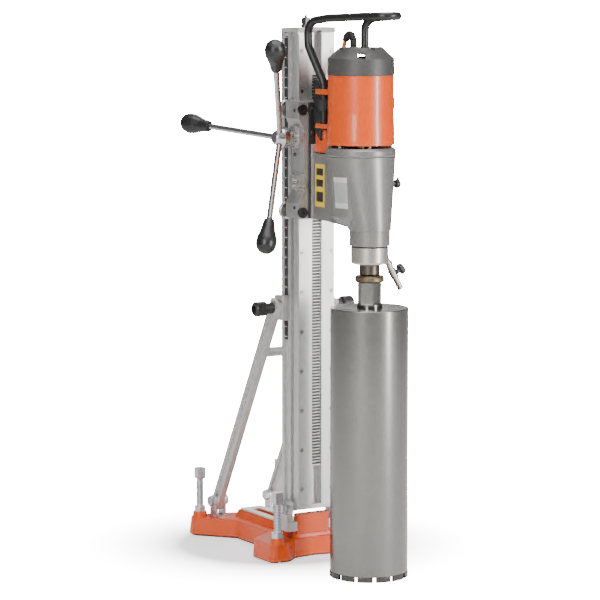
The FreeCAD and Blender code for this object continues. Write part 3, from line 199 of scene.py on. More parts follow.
soft_edges, given, result = effect("soft_edges", [("Radius", "Float", 0.0006)],
                                   [("Normal", "Vector"), ("Edge", "Float")])
rounded = add(soft_edges, "ShaderNodeBevel", {"Radius": given["Radius"]}, samples=6)
true_side = add(soft_edges, "ShaderNodeNewGeometry").outputs["True Normal"]
same = add(soft_edges, "ShaderNodeVectorMath", {0: rounded.outputs[0], 1: true_side}, operation="DOT_PRODUCT")
turned_off = add(soft_edges, "ShaderNodeMapRange",
                 {0: same.outputs["Value"], 1: 0.985, 2: 0.80, 3: 0.0, 4: 1.0})
soft_edges.links.new(rounded.outputs[0], result["Normal"])
soft_edges.links.new(turned_off.outputs[0], result["Edge"])

settled_dust, given, result = effect("settled_dust", [("Amount", "Float", 0.2)], [("Mask", "Float")])
geometry = add(settled_dust, "ShaderNodeNewGeometry")
upward = add(settled_dust, "ShaderNodeSeparateXYZ", {0: geometry.outputs["Normal"]})
facing = add(settled_dust, "ShaderNodeMapRange", {0: upward.outputs[2], 1: 0.3, 2: 1.0, 3: 0.0, 4: 1.0})
spot = add(settled_dust, "ShaderNodeTexCoord").outputs["Object"]
patches = add(settled_dust, "ShaderNodeTexNoise", {"Vector": spot, "Scale": 60.0, "Detail": 6.0})
some = add(settled_dust, "ShaderNodeMapRange", {0: patches.outputs[0], 1: 0.45, 2: 0.75, 3: 0.0, 4: 1.0})
both = add(settled_dust, "ShaderNodeMath", {0: facing.outputs[0], 1: some.outputs[0]}, operation="MULTIPLY")
weak = add(settled_dust, "ShaderNodeMath", {0: both.outputs[0], 1: given["Amount"]}, operation="MULTIPLY")
settled_dust.links.new(weak.outputs[0], result["Mask"])

# a band is a slice of the object between two distances along one direction
band_mask, given, result = effect("band_mask", [("Along", "Vector", (0, 0, 1)), ("Low", "Float", 0.0),
                                                ("High", "Float", 0.01), ("Soft", "Float", 0.0003)],
                                  [("Mask", "Float")])
spot = add(band_mask, "ShaderNodeTexCoord").outputs["Object"]
along = add(band_mask, "ShaderNodeVectorMath", {0: spot, 1: given["Along"]},
            operation="DOT_PRODUCT").outputs["Value"]
low_end = add(band_mask, "ShaderNodeMath", {0: given["Low"], 1: given["Soft"]}, operation="SUBTRACT")
high_end = add(band_mask, "ShaderNodeMath", {0: given["High"], 1: given["Soft"]}, operation="ADD")
rise = add(band_mask, "ShaderNodeMapRange",
           {0: along, 1: low_end.outputs[0], 2: given["Low"], 3: 0.0, 4: 1.0})
fall = add(band_mask, "ShaderNodeMapRange",
           {0: along, 1: given["High"], 2: high_end.outputs[0], 3: 1.0, 4: 0.0})
inside = add(band_mask, "ShaderNodeMath", {0: rise.outputs[0], 1: fall.outputs[0]}, operation="MULTIPLY")
band_mask.links.new(inside.outputs[0], result["Mask"])
print("five shared effects")

# %% [markdown]
# One function lays these effects over the standard shader. What differs from finish to finish is a small set
# of words: the two tones, how rough and how metallic, the direction of the grain, how strongly its edges
# are rounded and what colour shows where they are rubbed. Values that are the same all over go straight onto
# the shader's sockets.

# %% The finish function
ALL_WAYS = (1, 1, 1)
UPRIGHT_LINES = (9, 9, 0.12)
TURNED_LINES = (0.25, 0.25, 14)
SIDEWAYS_LINES = (0.15, 9, 9)
EDGE_WEAR = 0.35


def finish(name, tone, second, rough, metal=0.0, cloud=18, amount=0.5, grain=500, stretch=ALL_WAYS,
           depth=0.1, spread=0.06, radius=0.5, edge_tone=None, coat=0.0, dust=0.0):
    """A material built from the shared effects."""
    material = bpy.data.materials.new(name)
    material.use_nodes = True
    tree = material.node_tree
    shader = tree.nodes["Principled BSDF"]
    tones = add(tree, "ShaderNodeGroup", node_tree=uneven_tone)
    tones.inputs["Colour"].default_value = (*tone, 1)
    tones.inputs["Second"].default_value = (*second, 1)
    tones.inputs["Scale"].default_value = cloud
    tones.inputs["Amount"].default_value = amount
    edges = add(tree, "ShaderNodeGroup", node_tree=soft_edges)
    edges.inputs["Radius"].default_value = radius * mm
    colour = tones.outputs["Colour"]
    if edge_tone:
        rubbed = add(tree, "ShaderNodeMath", {0: edges.outputs["Edge"], 1: EDGE_WEAR}, operation="MULTIPLY")
        colour = add(tree, "ShaderNodeMix", {0: rubbed.outputs[0], 6: colour, 7: (*edge_tone, 1)},
                     data_type="RGBA").outputs[2]
    if dust:
        film = add(tree, "ShaderNodeGroup", node_tree=settled_dust)
        film.inputs["Amount"].default_value = dust
        colour = add(tree, "ShaderNodeMix", {0: film.outputs["Mask"], 6: colour, 7: (0.45, 0.43, 0.40, 1)},
                     data_type="RGBA").outputs[2]
    tree.links.new(colour, shader.inputs["Base Color"])
    lines = add(tree, "ShaderNodeGroup", node_tree=drawn_grain)
    lines.inputs["Scale"].default_value = grain
    lines.inputs["Stretch"].default_value = stretch
    worn = add(tree, "ShaderNodeMapRange", {0: lines.outputs["Height"], 1: 0.3, 2: 0.7, 3: rough - spread,
                                            4: rough + spread})
    tree.links.new(worn.outputs[0], shader.inputs["Roughness"])
    bump = add(tree, "ShaderNodeBump", {"Strength": depth, "Distance": 0.05 * mm,
                                        "Height": lines.outputs["Height"], "Normal": edges.outputs["Normal"]})
    tree.links.new(bump.outputs[0], shader.inputs["Normal"])
    shader.inputs["Metallic"].default_value = metal
    if coat:
        shader.inputs["Coat Weight"].default_value = coat
        shader.inputs["Coat Roughness"].default_value = 0.06
    return material


def band(material, along, low, high, tone, amount=1.0, soft=0.3):
    """Changes a material's tone between two distances, in millimetres, along a direction."""
    tree = material.node_tree
    colour = tree.nodes["Principled BSDF"].inputs["Base Color"]
    before = colour.links[0].from_socket
    slice_of = add(tree, "ShaderNodeGroup", node_tree=band_mask)
    for label, value in (("Along", along), ("Low", low * mm), ("High", high * mm), ("Soft", soft * mm)):
        slice_of.inputs[label].default_value = value
    share = add(tree, "ShaderNodeMath", {0: slice_of.outputs["Mask"], 1: amount}, operation="MULTIPLY")
    changed = add(tree, "ShaderNodeMix", {0: share.outputs[0], 6: before, 7: (*tone, 1)}, data_type="RGBA")
    tree.links.new(changed.outputs[2], colour)


def dress(material, *nodes):
    """Gives parts of the frame a finish, through their material slots."""
    for name in nodes:
        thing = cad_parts[name]
        for held in thing.material_slots:
            held.material = material
        if not thing.material_slots:
            thing.data.materials.append(material)


# %% [markdown]
# Painted and moulded parts. The base is a casting under glossy orange paint: its rounded edges carry a thin
# light line and its surface has the slight unevenness of a sprayed casting. The motor's shell is the same
# colour in moulded plastic, smoother. The gearbox is painted grey over a coarser casting.

# %% Paint and plastic
orange_paint = finish("orange_paint", (0.70, 0.075, 0.003), (0.64, 0.066, 0.003), 0.30, cloud=9, amount=0.2,
                      depth=0.01, spread=0.02, radius=0.9, coat=0.2)
orange_shell = finish("orange_shell", (0.72, 0.080, 0.003), (0.66, 0.070, 0.003), 0.32, cloud=7, amount=0.2,
                      grain=900, depth=0.05, radius=1.0, edge_tone=(0.92, 0.22, 0.03), coat=0.25)
gearbox_paint = finish("gearbox_paint", (0.235, 0.225, 0.215), (0.205, 0.197, 0.188), 0.34, metal=0.4,
                       cloud=30, amount=0.3, grain=420, depth=0.06, radius=1.0, edge_tone=(0.34, 0.33, 0.31))
flange_paint = finish("flange_paint", (0.225, 0.217, 0.207), (0.19, 0.183, 0.175), 0.34, metal=0.4, grain=420,
                      depth=0.06, radius=1.0, edge_tone=(0.34, 0.33, 0.31))
carriage_paint = finish("carriage_paint", (0.42, 0.415, 0.405), (0.36, 0.355, 0.345), 0.38, metal=0.5,
                        grain=380, depth=0.1, radius=1.0, edge_tone=(0.42, 0.41, 0.39), dust=0.08)
# near black: painted shade of the carriage's front face, which faces away from the lamps
painted_shade_plate = finish("painted_shade_plate", (0.022, 0.022, 0.022), (0.035, 0.035, 0.035), 0.38, grain=600, depth=0.15,
                     radius=0.8, edge_tone=(0.14, 0.14, 0.14))
dark_cap = finish("dark_cap", (0.060, 0.057, 0.054), (0.045, 0.043, 0.042), 0.46, grain=700, depth=0.3,
                  radius=1.2, edge_tone=(0.12, 0.115, 0.11), dust=0.06)
black_plastic = finish("black_plastic", (0.016, 0.016, 0.016), (0.028, 0.028, 0.028), 0.42, grain=800,
                       depth=0.2, radius=0.8, edge_tone=(0.08, 0.08, 0.08))
grip_black = finish("grip_black", (0.012, 0.012, 0.012), (0.016, 0.016, 0.016), 0.34, grain=900, depth=0.01,
                    spread=0.02, radius=2.5)
handle_black = finish("handle_black", (0.012, 0.012, 0.012), (0.016, 0.016, 0.016), 0.34, grain=900,
                      depth=0.01, spread=0.02, radius=2.5)
cap_grey = finish("cap_grey", (0.42, 0.42, 0.41), (0.34, 0.34, 0.33), 0.45, grain=600, depth=0.25, radius=0.8,
                  edge_tone=(0.2, 0.2, 0.2), dust=0.1)
rocker_red = finish("rocker_red", (0.35, 0.02, 0.015), (0.28, 0.015, 0.012), 0.32, grain=700, depth=0.05)
seal_rubber = finish("seal_rubber", (0.013, 0.013, 0.013), (0.03, 0.03, 0.03), 0.75, grain=500, depth=0.4)
boot_rubber = finish("boot_rubber", (0.014, 0.014, 0.014), (0.022, 0.022, 0.022), 0.55, grain=600, depth=0.2)
dress(orange_paint, "base_plate")
dress(orange_shell, "motor_housing")
dress(gearbox_paint, "gearbox_housing")
dress(flange_paint, "gearbox_flange")
dress(carriage_paint, "carriage_body")
# the mount plate is coloured with the painted shade of the carriage's front face
dress(painted_shade_plate, "mount_plate")
dress(dark_cap, "motor_cap")
dress(black_plastic, "brace_knobs", "valve_knob", "gear_selector", "switch_box")
dress(grip_black, "feed_knobs")
dress(handle_black, "carry_handle")
dress(cap_grey, "column_cap")
dress(black_plastic, "plug")
dress(rocker_red, "power_switch")
dress(seal_rubber, "base_seal")
dress(boot_rubber, "cable_boot")
print("painted and moulded finishes")

# %% [markdown]
# Bare and plated metal. A drawn or extruded part has fine lines along its length, a turned part has them
# round its axis, and a plated screw has cloudy patches instead. Only the direction and scale of the grain
# change between them.

# %% Metal
bit_steel = finish("bit_steel", (0.27, 0.26, 0.248), (0.235, 0.226, 0.215), 0.22, metal=1.0, cloud=6,
                   amount=0.7, grain=160, stretch=TURNED_LINES, depth=0.03, spread=0.05, radius=0.5)
anodised = finish("anodised", (0.66, 0.66, 0.655), (0.60, 0.60, 0.595), 0.40, metal=0.7, cloud=5, grain=90,
                  stretch=UPRIGHT_LINES, depth=0.12, radius=0.5, edge_tone=(0.8, 0.8, 0.8))
strip_anodised = finish("strip_anodised", (0.62, 0.62, 0.61), (0.54, 0.54, 0.535), 0.40, metal=0.85, cloud=6,
                        grain=110, stretch=UPRIGHT_LINES, depth=0.12, radius=0.4)
brace_metal = finish("brace_metal", (0.62, 0.615, 0.60), (0.56, 0.555, 0.54), 0.40, metal=0.6, cloud=9,
                     grain=120, stretch=UPRIGHT_LINES, depth=0.15, radius=0.7, edge_tone=(0.7, 0.7, 0.7))
bar_metal = finish("bar_metal", (0.62, 0.62, 0.61), (0.52, 0.52, 0.51), 0.38, metal=0.85, grain=140,
                   stretch=SIDEWAYS_LINES, depth=0.12)
machined = finish("machined", (0.60, 0.59, 0.57), (0.52, 0.51, 0.495), 0.36, metal=0.7, grain=220,
                  stretch=(1, 1, 6), depth=0.14, radius=0.9, edge_tone=(0.8, 0.8, 0.78))
collar_metal = finish("collar_metal", (0.58, 0.55, 0.50), (0.50, 0.475, 0.43), 0.34, metal=0.9, grain=150,
                      stretch=TURNED_LINES, depth=0.10, radius=0.8)
zinc = finish("zinc", (0.70, 0.71, 0.73), (0.60, 0.61, 0.64), 0.32, metal=0.9, cloud=70, amount=0.5,
              grain=350, depth=0.05, radius=0.5, edge_tone=(0.8, 0.8, 0.82))
zinc_sheet = finish("zinc_sheet", (0.66, 0.65, 0.61), (0.54, 0.53, 0.50), 0.36, metal=0.8, cloud=40,
                    amount=0.8, grain=200, stretch=(1, 5, 1), depth=0.12, radius=0.6)
rod_steel = finish("rod_steel", (0.62, 0.62, 0.62), (0.50, 0.50, 0.50), 0.22, metal=1.0, cloud=20, grain=200,
                   depth=0.05)
rack_steel = finish("rack_steel", (0.60, 0.59, 0.57), (0.50, 0.49, 0.475), 0.36, metal=0.9, cloud=60,
                    amount=0.7, grain=300, depth=0.2, radius=0.35, edge_tone=(0.62, 0.60, 0.57))
rail_steel = finish("rail_steel", (0.40, 0.40, 0.40), (0.32, 0.32, 0.32), 0.32, metal=1.0, cloud=12,
                    grain=120, stretch=UPRIGHT_LINES, depth=0.1)
dark_steel = finish("dark_steel", (0.10, 0.10, 0.105), (0.07, 0.07, 0.072), 0.36, metal=0.9, cloud=60,
                    grain=400, depth=0.15, radius=0.5, edge_tone=(0.3, 0.3, 0.3))
gear_steel = finish("gear_steel", (0.44, 0.44, 0.43), (0.34, 0.34, 0.33), 0.30, metal=1.0, cloud=40,
                    grain=300, depth=0.1, radius=0.3)
spindle_steel = finish("spindle_steel", (0.10, 0.085, 0.07), (0.16, 0.14, 0.115), 0.34, metal=1.0, grain=150,
                       stretch=TURNED_LINES, depth=0.08, radius=0.5)
olive_nut = finish("olive_nut", (0.20, 0.155, 0.085), (0.14, 0.11, 0.065), 0.38, metal=0.85, cloud=50,
                   grain=160, stretch=TURNED_LINES, depth=0.15, radius=0.6, edge_tone=(0.42, 0.37, 0.28))
brass = finish("brass", (0.60, 0.47, 0.25), (0.50, 0.38, 0.19), 0.30, metal=1.0, cloud=50, grain=250,
               stretch=(1, 1, 3), depth=0.1, radius=0.4, edge_tone=(0.8, 0.68, 0.45))
fitting = finish("fitting", (0.62, 0.59, 0.52), (0.50, 0.47, 0.41), 0.30, metal=1.0, cloud=50, grain=250,
                 depth=0.1, radius=0.5)
copper_core = finish("copper_core", (0.45, 0.22, 0.12), (0.30, 0.28, 0.26), 0.40, metal=0.9, cloud=40,
                     amount=0.9, grain=300, stretch=UPRIGHT_LINES, depth=0.3)
UP, TO_BACK = (0, 0, 1), (0, 1, 0)
band(bit_steel, UP, -1, 9.6, (0.10, 0.098, 0.095))
band(bit_steel, UP, 9.9, 10.8, (0.14, 0.10, 0.08))
band(bit_steel, UP, 528.4, 529.6, (0.16, 0.15, 0.14))
band(rack_steel, TO_BACK, -148.4, -145.5, (0.05, 0.048, 0.045), amount=0.9, soft=0.9)
dress(bit_steel, "core_bit")
dress(anodised, "column_extrusion")
dress(strip_anodised, "face_plates")
dress(brace_metal, "left_brace", "right_brace")
dress(bar_metal, "brace_cross_bar")
dress(machined, "column_saddle", "drill_adapter", "brace_clamps", "column_end_plate")
dress(collar_metal, "water_collar")
dress(zinc, "brace_brackets", "pivot_bolts", "levelling_nuts", "lock_lever", "levelling_screw_front_left",
      "levelling_screw_front_right", "levelling_screw_rear_left", "levelling_screw_rear_right")
dress(zinc_sheet, "slot_plate")
dress(rod_steel, "feed_spokes", "feed_hub")
dress(rack_steel, "gear_rack")
dress(rail_steel, "guide_rails", "roller_low_left", "roller_low_right", "roller_high_left",
      "roller_high_right", "spindle_bearing")
dress(dark_steel, "face_plate_screws", "jack_screw", "roller_axles")
dress(gear_steel, "layshaft")
dress(spindle_steel, "spindle")
dress(olive_nut, "spindle_nut")
dress(fitting, "water_inlet")
dress(copper_core, "rotor", "stator")
scale_black = finish("scale_black", (0.02, 0.02, 0.02), (0.03, 0.03, 0.03), 0.45, grain=600, depth=0.1)
dress(scale_black, "depth_scale")
print("metal finishes")

# %% [markdown]
# Threads, screw heads, scale marks and the ribs of the bend relief are all one small shape repeated many
# times. Three geometry node trees grow them: heads on points, rings along a line, and marks in a row. Each
# tree has named inputs, ends as real mesh, and its result is kept as a plain mesh that rides on one body.

# %% Trees for repeated detail


def geometry_tree(name, inputs):
    """An empty geometry tree with one geometry going in and one coming out."""
    tree = bpy.data.node_groups.new(name, "GeometryNodeTree")
    tree.interface.new_socket("Geometry", in_out="INPUT", socket_type="NodeSocketGeometry")
    for label, kind, value in inputs:
        tree.interface.new_socket(label, in_out="INPUT",
                                  socket_type="NodeSocket" + kind).default_value = value
    tree.interface.new_socket("Finish", in_out="INPUT", socket_type="NodeSocketMaterial")
    tree.interface.new_socket("Geometry", in_out="OUTPUT", socket_type="NodeSocketGeometry")
    return tree, add(tree, "NodeGroupInput").outputs, add(tree, "NodeGroupOutput").inputs


def end_tree(tree, instances, given, result):
    """Makes the instances real and gives them their finish."""
    real = add(tree, "GeometryNodeRealizeInstances", {0: instances})
    coated = add(tree, "GeometryNodeSetMaterial", {"Geometry": real.outputs[0], "Material": given["Finish"]})
    tree.links.new(coated.outputs[0], result["Geometry"])


# a screw head: a short cylinder with a chamfer and a socket sunk in its top
heads, given, result = geometry_tree("heads", [("Radius", "Float", 0.003), ("Height", "Float", 0.002),
                                               ("Sides", "Int", 24), ("Socket", "Float", 0.55)])
blank = add(heads, "GeometryNodeMeshCylinder", {"Vertices": given["Sides"], "Radius": given["Radius"],
                                                "Depth": given["Height"]})
rise = add(heads, "ShaderNodeMath", {0: given["Height"], 1: 0.25}, operation="MULTIPLY")
raised = add(heads, "GeometryNodeExtrudeMesh",
             {"Mesh": blank.outputs["Mesh"], "Selection": blank.outputs["Top"],
                                                "Offset Scale": rise.outputs[0]})
chamfer = add(heads, "GeometryNodeScaleElements", {"Geometry": raised.outputs["Mesh"],
                                                   "Selection": raised.outputs["Top"], "Scale": 0.86})
inset = add(heads, "GeometryNodeExtrudeMesh", {"Mesh": chamfer.outputs[0], "Selection": raised.outputs["Top"],
                                               "Offset Scale": 0.0})
rim = add(heads, "GeometryNodeScaleElements",
          {"Geometry": inset.outputs["Mesh"], "Selection": inset.outputs["Top"],
                                               "Scale": given["Socket"]})
sink = add(heads, "ShaderNodeMath", {0: given["Height"], 1: -0.8}, operation="MULTIPLY")
sunk = add(heads, "GeometryNodeExtrudeMesh", {"Mesh": rim.outputs[0], "Selection": inset.outputs["Top"],
                                              "Offset Scale": sink.outputs[0]})
facing = add(heads, "GeometryNodeInputNamedAttribute", {"Name": "facing"}, data_type="FLOAT_VECTOR")
turn = add(heads, "FunctionNodeAlignRotationToVector", {"Vector": facing.outputs["Attribute"]}, axis="Z")
placed = add(heads, "GeometryNodeInstanceOnPoints",
             {"Points": given["Geometry"], "Instance": sunk.outputs["Mesh"], "Rotation": turn.outputs[0]})
end_tree(heads, placed.outputs[0], given, result)

# rings along a line, each square to it, smaller towards the end where the line tapers
rings, given, result = geometry_tree("rings", [("Pitch", "Float", 0.002), ("Radius", "Float", 0.007),
                                               ("Ridge", "Float", 0.0005), ("Taper", "Float", 1.0)])
path = add(rings, "GeometryNodeMeshToCurve", {"Mesh": given["Geometry"]})
spaced = add(rings, "GeometryNodeResampleCurve", {"Curve": path.outputs[0], "Length": given["Pitch"]},
             mode="LENGTH")
hoop = add(rings, "GeometryNodeCurvePrimitiveCircle", {"Resolution": 36, "Radius": given["Radius"]})
section = add(rings, "GeometryNodeCurvePrimitiveCircle", {"Resolution": 8, "Radius": given["Ridge"]})
ridge = add(rings, "GeometryNodeCurveToMesh", {"Curve": hoop.outputs[0], "Profile Curve": section.outputs[0]})
smooth = add(rings, "GeometryNodeSetShadeSmooth", {0: ridge.outputs[0]})
tangent = add(rings, "GeometryNodeInputTangent")
turn = add(rings, "FunctionNodeAlignRotationToVector", {"Vector": tangent.outputs[0]}, axis="Z")
share = add(rings, "GeometryNodeSplineParameter")
size_here = add(rings, "ShaderNodeMapRange", {0: share.outputs["Factor"], 3: 1.0, 4: given["Taper"]})
placed = add(rings, "GeometryNodeInstanceOnPoints",
             {"Points": spaced.outputs[0], "Instance": smooth.outputs[0],
              "Rotation": turn.outputs[0], "Scale": size_here.outputs[0]})
end_tree(rings, placed.outputs[0], given, result)

# marks in an upright row, every fifth one longer
marks, given, result = geometry_tree("marks", [("Count", "Int", 50), ("Pitch", "Float", 0.01),
                                               ("Width", "Float", 0.001), ("Length", "Float", 0.005)])
step = add(marks, "ShaderNodeCombineXYZ", {"Z": given["Pitch"]})
row = add(marks, "GeometryNodeMeshLine", {"Count": given["Count"], "Offset": step.outputs[0]}, mode="OFFSET")
stroke_size = add(marks, "ShaderNodeCombineXYZ", {"X": 0.0003, "Y": given["Length"], "Z": given["Width"]})
stroke = add(marks, "GeometryNodeMeshCube", {"Size": stroke_size.outputs[0]})
number = add(marks, "GeometryNodeInputIndex")
fifth = add(marks, "ShaderNodeMath", {0: number.outputs[0], 1: 5.0}, operation="MODULO")
longer = add(marks, "ShaderNodeMath", {0: fifth.outputs[0], 1: 0.5}, operation="LESS_THAN")
stretch = add(marks, "ShaderNodeMath", {0: longer.outputs[0], 1: 0.7, 2: 1.0}, operation="MULTIPLY_ADD")
stroke_scale = add(marks, "ShaderNodeCombineXYZ", {"X": 1.0, "Y": stretch.outputs[0], "Z": 1.0})
along_row = add(marks, "GeometryNodeInstanceOnPoints",
                {"Points": row.outputs[0], "Instance": stroke.outputs[0],
                 "Scale": stroke_scale.outputs[0]})
placed = add(marks, "GeometryNodeInstanceOnPoints",
             {"Points": given["Geometry"], "Instance": along_row.outputs[0]})
end_tree(marks, placed.outputs[0], given, result)
print("three trees")

# %% Growing a piece


def plain_piece(name, mesh, body):
    """Puts a finished mesh in the scene as a piece that moves with a body."""
    piece = bpy.data.objects.new(name, mesh)
    scene.collection.objects.link(piece)
    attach(piece, body)
    return piece


def grown(name, tree, body, slot, material, places, edges=(), facing=None, **settings):
    """Runs a tree on some points, given in millimetres, and keeps the result as a plain mesh on a body."""
    start = bpy.data.meshes.new(name + "_start")
    start.from_pydata([tuple(Vector(place) * mm) for place in places], edges, [])
    ways = start.attributes.new("facing", "FLOAT_VECTOR", "POINT")
    for index in range(len(places)):
        ways.data[index].vector = facing[index] if facing else (0, 0, 1)
    holder = bpy.data.objects.new(name + "_start", start)
    scene.collection.objects.link(holder)
    grow = holder.modifiers.new("grow", "NODES")
    grow.node_group = tree
    for label, value in {**settings, "Finish": material}.items():
        identifier = next(item.identifier for item in tree.interface.items_tree
                          if item.item_type == "SOCKET" and item.in_out == "INPUT" and item.name == label)
        grow[identifier] = value
    depsgraph = bpy.context.evaluated_depsgraph_get()
    mesh = bpy.data.meshes.new_from_object(holder.evaluated_get(depsgraph), depsgraph=depsgraph)
    bpy.data.objects.remove(holder)
    return plain_piece(name, mesh, body)


def thin_plate(name, body, material, low, high, edge):
    """A thin plate with rounded edges between two corners, given in millimetres."""
    x0, y0, z0 = low
    x1, y1, z1 = high
    corners = [(x, y, z) for x in (x0, x1) for y in (y0, y1) for z in (z0, z1)]
    sides = [(0, 1, 3, 2), (4, 6, 7, 5), (0, 4, 5, 1), (2, 3, 7, 6), (0, 2, 6, 4), (1, 5, 7, 3)]
    mesh = bpy.data.meshes.new(name)
    mesh.from_pydata([tuple(Vector(corner) * mm) for corner in corners], [], sides)
    mesh.materials.append(material)
    piece = plain_piece(name, mesh, body)
    rounding = piece.modifiers.new("edges", "BEVEL")
    rounding.width = edge * mm
    rounding.segments = 2
    return piece


# %% [markdown]
# The levelling screws are plated bolts with a thread rolled into the shank. It is drawn as rings three
# millimetres apart, coarse enough to be seen, that stand a little proud of the shank as thread crests do.
# The rings are darker and bluer than the plated shank: painted shade of the thread's grooves.

# %% Screw threads
# darker and bluer than the plated heads: painted shade of the thread's grooves
painted_shade_thread_zinc = finish("painted_shade_thread_zinc", (0.34, 0.39, 0.43), (0.28, 0.32, 0.36), 0.34, metal=0.9, cloud=80,
                     grain=500, depth=0.1, radius=0.2)
THREAD_LOW, THREAD_HIGH = 66, 118
for side, x in (("left", -97), ("right", 97)):
    for end, y in (("front", -162.5), ("rear", 162.5)):
        grown(f"thread_{end}_{side}", rings, f"screw_{end}_{side}", "zinc_screw", painted_shade_thread_zinc,
              [(x, y, THREAD_LOW), (x, y, THREAD_HIGH)], edges=[(0, 1)], Pitch=3 * mm, Radius=6.9 * mm,
              Ridge=0.85 * mm, Taper=1.0)
print("four threads")

# %% [markdown]
# The bend relief is moulded rubber with ribs, thick near the cap and thin near the cable, so that the cable
# bends over a length and not at one point.

# %% Bend relief ribs
arch = [(0, -291, 1031)]
arch += [(0, -276.5 - 14.5 * math.cos(math.radians(a)), 1043 + 12 * math.sin(math.radians(a)))
         for a in range(0, 181, 12)]
grown("relief_ribs", rings, "carriage", "boot_rubber", boot_rubber, arch,
      edges=[(i, i + 1) for i in range(len(arch) - 1)], Pitch=3.4 * mm, Radius=7.0 * mm, Ridge=1.0 * mm,
      Taper=0.84)
print("ribs on the bend relief")

# %% [markdown]
# The depth scale is a dark strip on the column's left side, with a light mark every twenty millimetres and a
# longer one every hundred. It fills its groove out to the side face. The marks are thin solid strokes.

# %% Scale marks
strip = thin_plate("scale_backing", "column", scale_black, (-41.2, -108, 440),
                   (-34.6, -95, 1048), 0.3)
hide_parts("depth_scale")
mark_white = finish("mark_white", (0.75, 0.75, 0.73), (0.62, 0.62, 0.60), 0.5, grain=900, depth=0.05,
                    radius=0.1)
grown("scale_marks", marks, "column", "scale_strip", mark_white, [(-41.35, -101, 446)],
      Count=31, Pitch=20 * mm, Width=1.3 * mm, Length=6 * mm)
print("thirty-one marks")

# %% [markdown]
# Screws. Twenty-four bright ones hold the two face plates to the column. Dark cap screws sit on the mount
# plate, the sides of the carriage, the motor's cap and the switch box.

# %% Screw heads
bright_screw = finish("bright_screw", (0.50, 0.50, 0.50), (0.38, 0.38, 0.38), 0.30, metal=1.0, cloud=60,
                      grain=400, depth=0.1, radius=0.3)
FRONT, LEFT = (0, -1, 0), (-1, 0, 0)
plate_heads = [(x, -153.0, 140 + 80 * n) for x in (-34.5, 34.5) for n in range(12)]
grown("face_plate_rings", heads, "column", "dark_screw", bright_screw, plate_heads, facing=[FRONT] * 24,
      Radius=3.9 * mm, Height=0.8 * mm, Sides=28, Socket=0.5)
corner_heads = [(x, -190.2, z) for x in (-33, 33) for z in (860, 908)]
grown("mount_screws", heads, "carriage", "dark_screw", dark_steel, corner_heads, facing=[FRONT] * 4,
      Radius=4 * mm, Height=2.5 * mm, Sides=28, Socket=0.5)
side_heads = [(side * 62, y, z) for side in (-1, 1) for y, z in ((-172, 712), (-172, 818), (-172, 905))]
grown("carriage_screws", heads, "carriage", "dark_screw", dark_steel, side_heads,
      facing=[(1 if x > 0 else -1, 0, 0) for x, y, z in side_heads], Radius=3.6 * mm, Height=2.2 * mm,
      Sides=24, Socket=0.5)
CAP_AXIS, CAP_CIRCLE = -319, 44
cap_heads = [(CAP_CIRCLE * math.cos(around), CAP_AXIS + CAP_CIRCLE * math.sin(around), 1030.6)
             for around in map(math.radians, (-90, 0, 180))]
grown("cap_screws", heads, "carriage", "dark_screw", dark_steel, cap_heads, facing=[(0, 0, 1)] * 3,
      Radius=3.2 * mm, Height=2.0 * mm, Sides=24, Socket=0.5)
cover_heads = [(side * 26, -215.5, z) for side in (-1, 1) for z in (905, 955)]
grown("switch_screws", heads, "carriage", "dark_screw", dark_steel, cover_heads, facing=[FRONT] * 4,
      Radius=2.6 * mm, Height=1.6 * mm, Sides=20, Socket=0.5)
print("screw heads")

# %% [markdown]
# Plates. A blank bright type plate sits on the gearbox, and a plain yellow notice with dark bars on the side
# of the block behind it, where the maker would fix them. They carry no words.

# %% Plates
notice_yellow = finish("notice_yellow", (0.78, 0.52, 0.02), (0.70, 0.46, 0.02), 0.40, grain=900, depth=0.04,
                       radius=0.2)
notice_dark = finish("notice_dark", (0.02, 0.02, 0.02), (0.03, 0.03, 0.03), 0.45, grain=900, depth=0.05,
                     radius=0.2)
thin_plate("side_notice", "carriage", notice_yellow, (-33.5, -238, 716), (-32.9, -203, 800),
           0.2)
for low_z, high_z in ((778, 792), (756, 770), (726, 746)):
    thin_plate(f"notice_bar_{low_z}", "carriage", notice_dark, (-33.9, -233, low_z),
               (-33.4, -208, high_z), 0.15)


CASING_LOW, CASING_HIGH = 706, 821  # the gearbox's round casing widens and moves back between these heights
CASING_RADIUS, CASING_WIDENS = 59, 8
CASING_AXIS, CASING_MOVES = -322, 3


def curved_plate(name, body, material, middle_angle, half_angle, low, high):
    """A thin closed plate wrapped on the gearbox's round side."""
    steps, sheets = 14, []
    for out in (0.5, -0.6):
        for z in (low, high):
            share = (z - CASING_LOW) / (CASING_HIGH - CASING_LOW)
            radius = CASING_RADIUS + CASING_WIDENS * share + out
            centre = CASING_AXIS + CASING_MOVES * share
            for step in range(steps + 1):
                angle = math.radians(middle_angle - half_angle + 2 * half_angle * step / steps)
                sheets.append((radius * math.cos(angle), centre + radius * math.sin(angle), z))
    row = steps + 1
    faces = []
    for step in range(steps):
        a, b = step, step + 1
        faces.append((a, b, row + b, row + a))
        faces.append((3 * row + a, 3 * row + b, 2 * row + b, 2 * row + a))
        faces.append((2 * row + a, 2 * row + b, b, a))
        faces.append((row + a, row + b, 3 * row + b, 3 * row + a))
    faces.append((0, row, 3 * row, 2 * row))
    faces.append((steps, 2 * row + steps, 3 * row + steps, row + steps))
    mesh = bpy.data.meshes.new(name)
    mesh.from_pydata([tuple(Vector(place) * mm) for place in sheets], [], faces)
    mesh.materials.append(material)
    return plain_piece(name, mesh, body)


type_metal = finish("type_metal", (0.74, 0.74, 0.73), (0.66, 0.66, 0.65), 0.34, metal=0.4, cloud=30,
                    grain=260, stretch=UPRIGHT_LINES, depth=0.08, radius=0.2)
band(type_metal, UP, 733, 773, (0.22, 0.22, 0.22), amount=0.5, soft=0.2)
curved_plate("type_plate", "carriage", type_metal, -162, 15, 723, 783)
print("notice, its bars and the type plate")

# %% [markdown]
# The lock has a brass centre, the strap is a woven band, and the plug's pins end in plated metal.

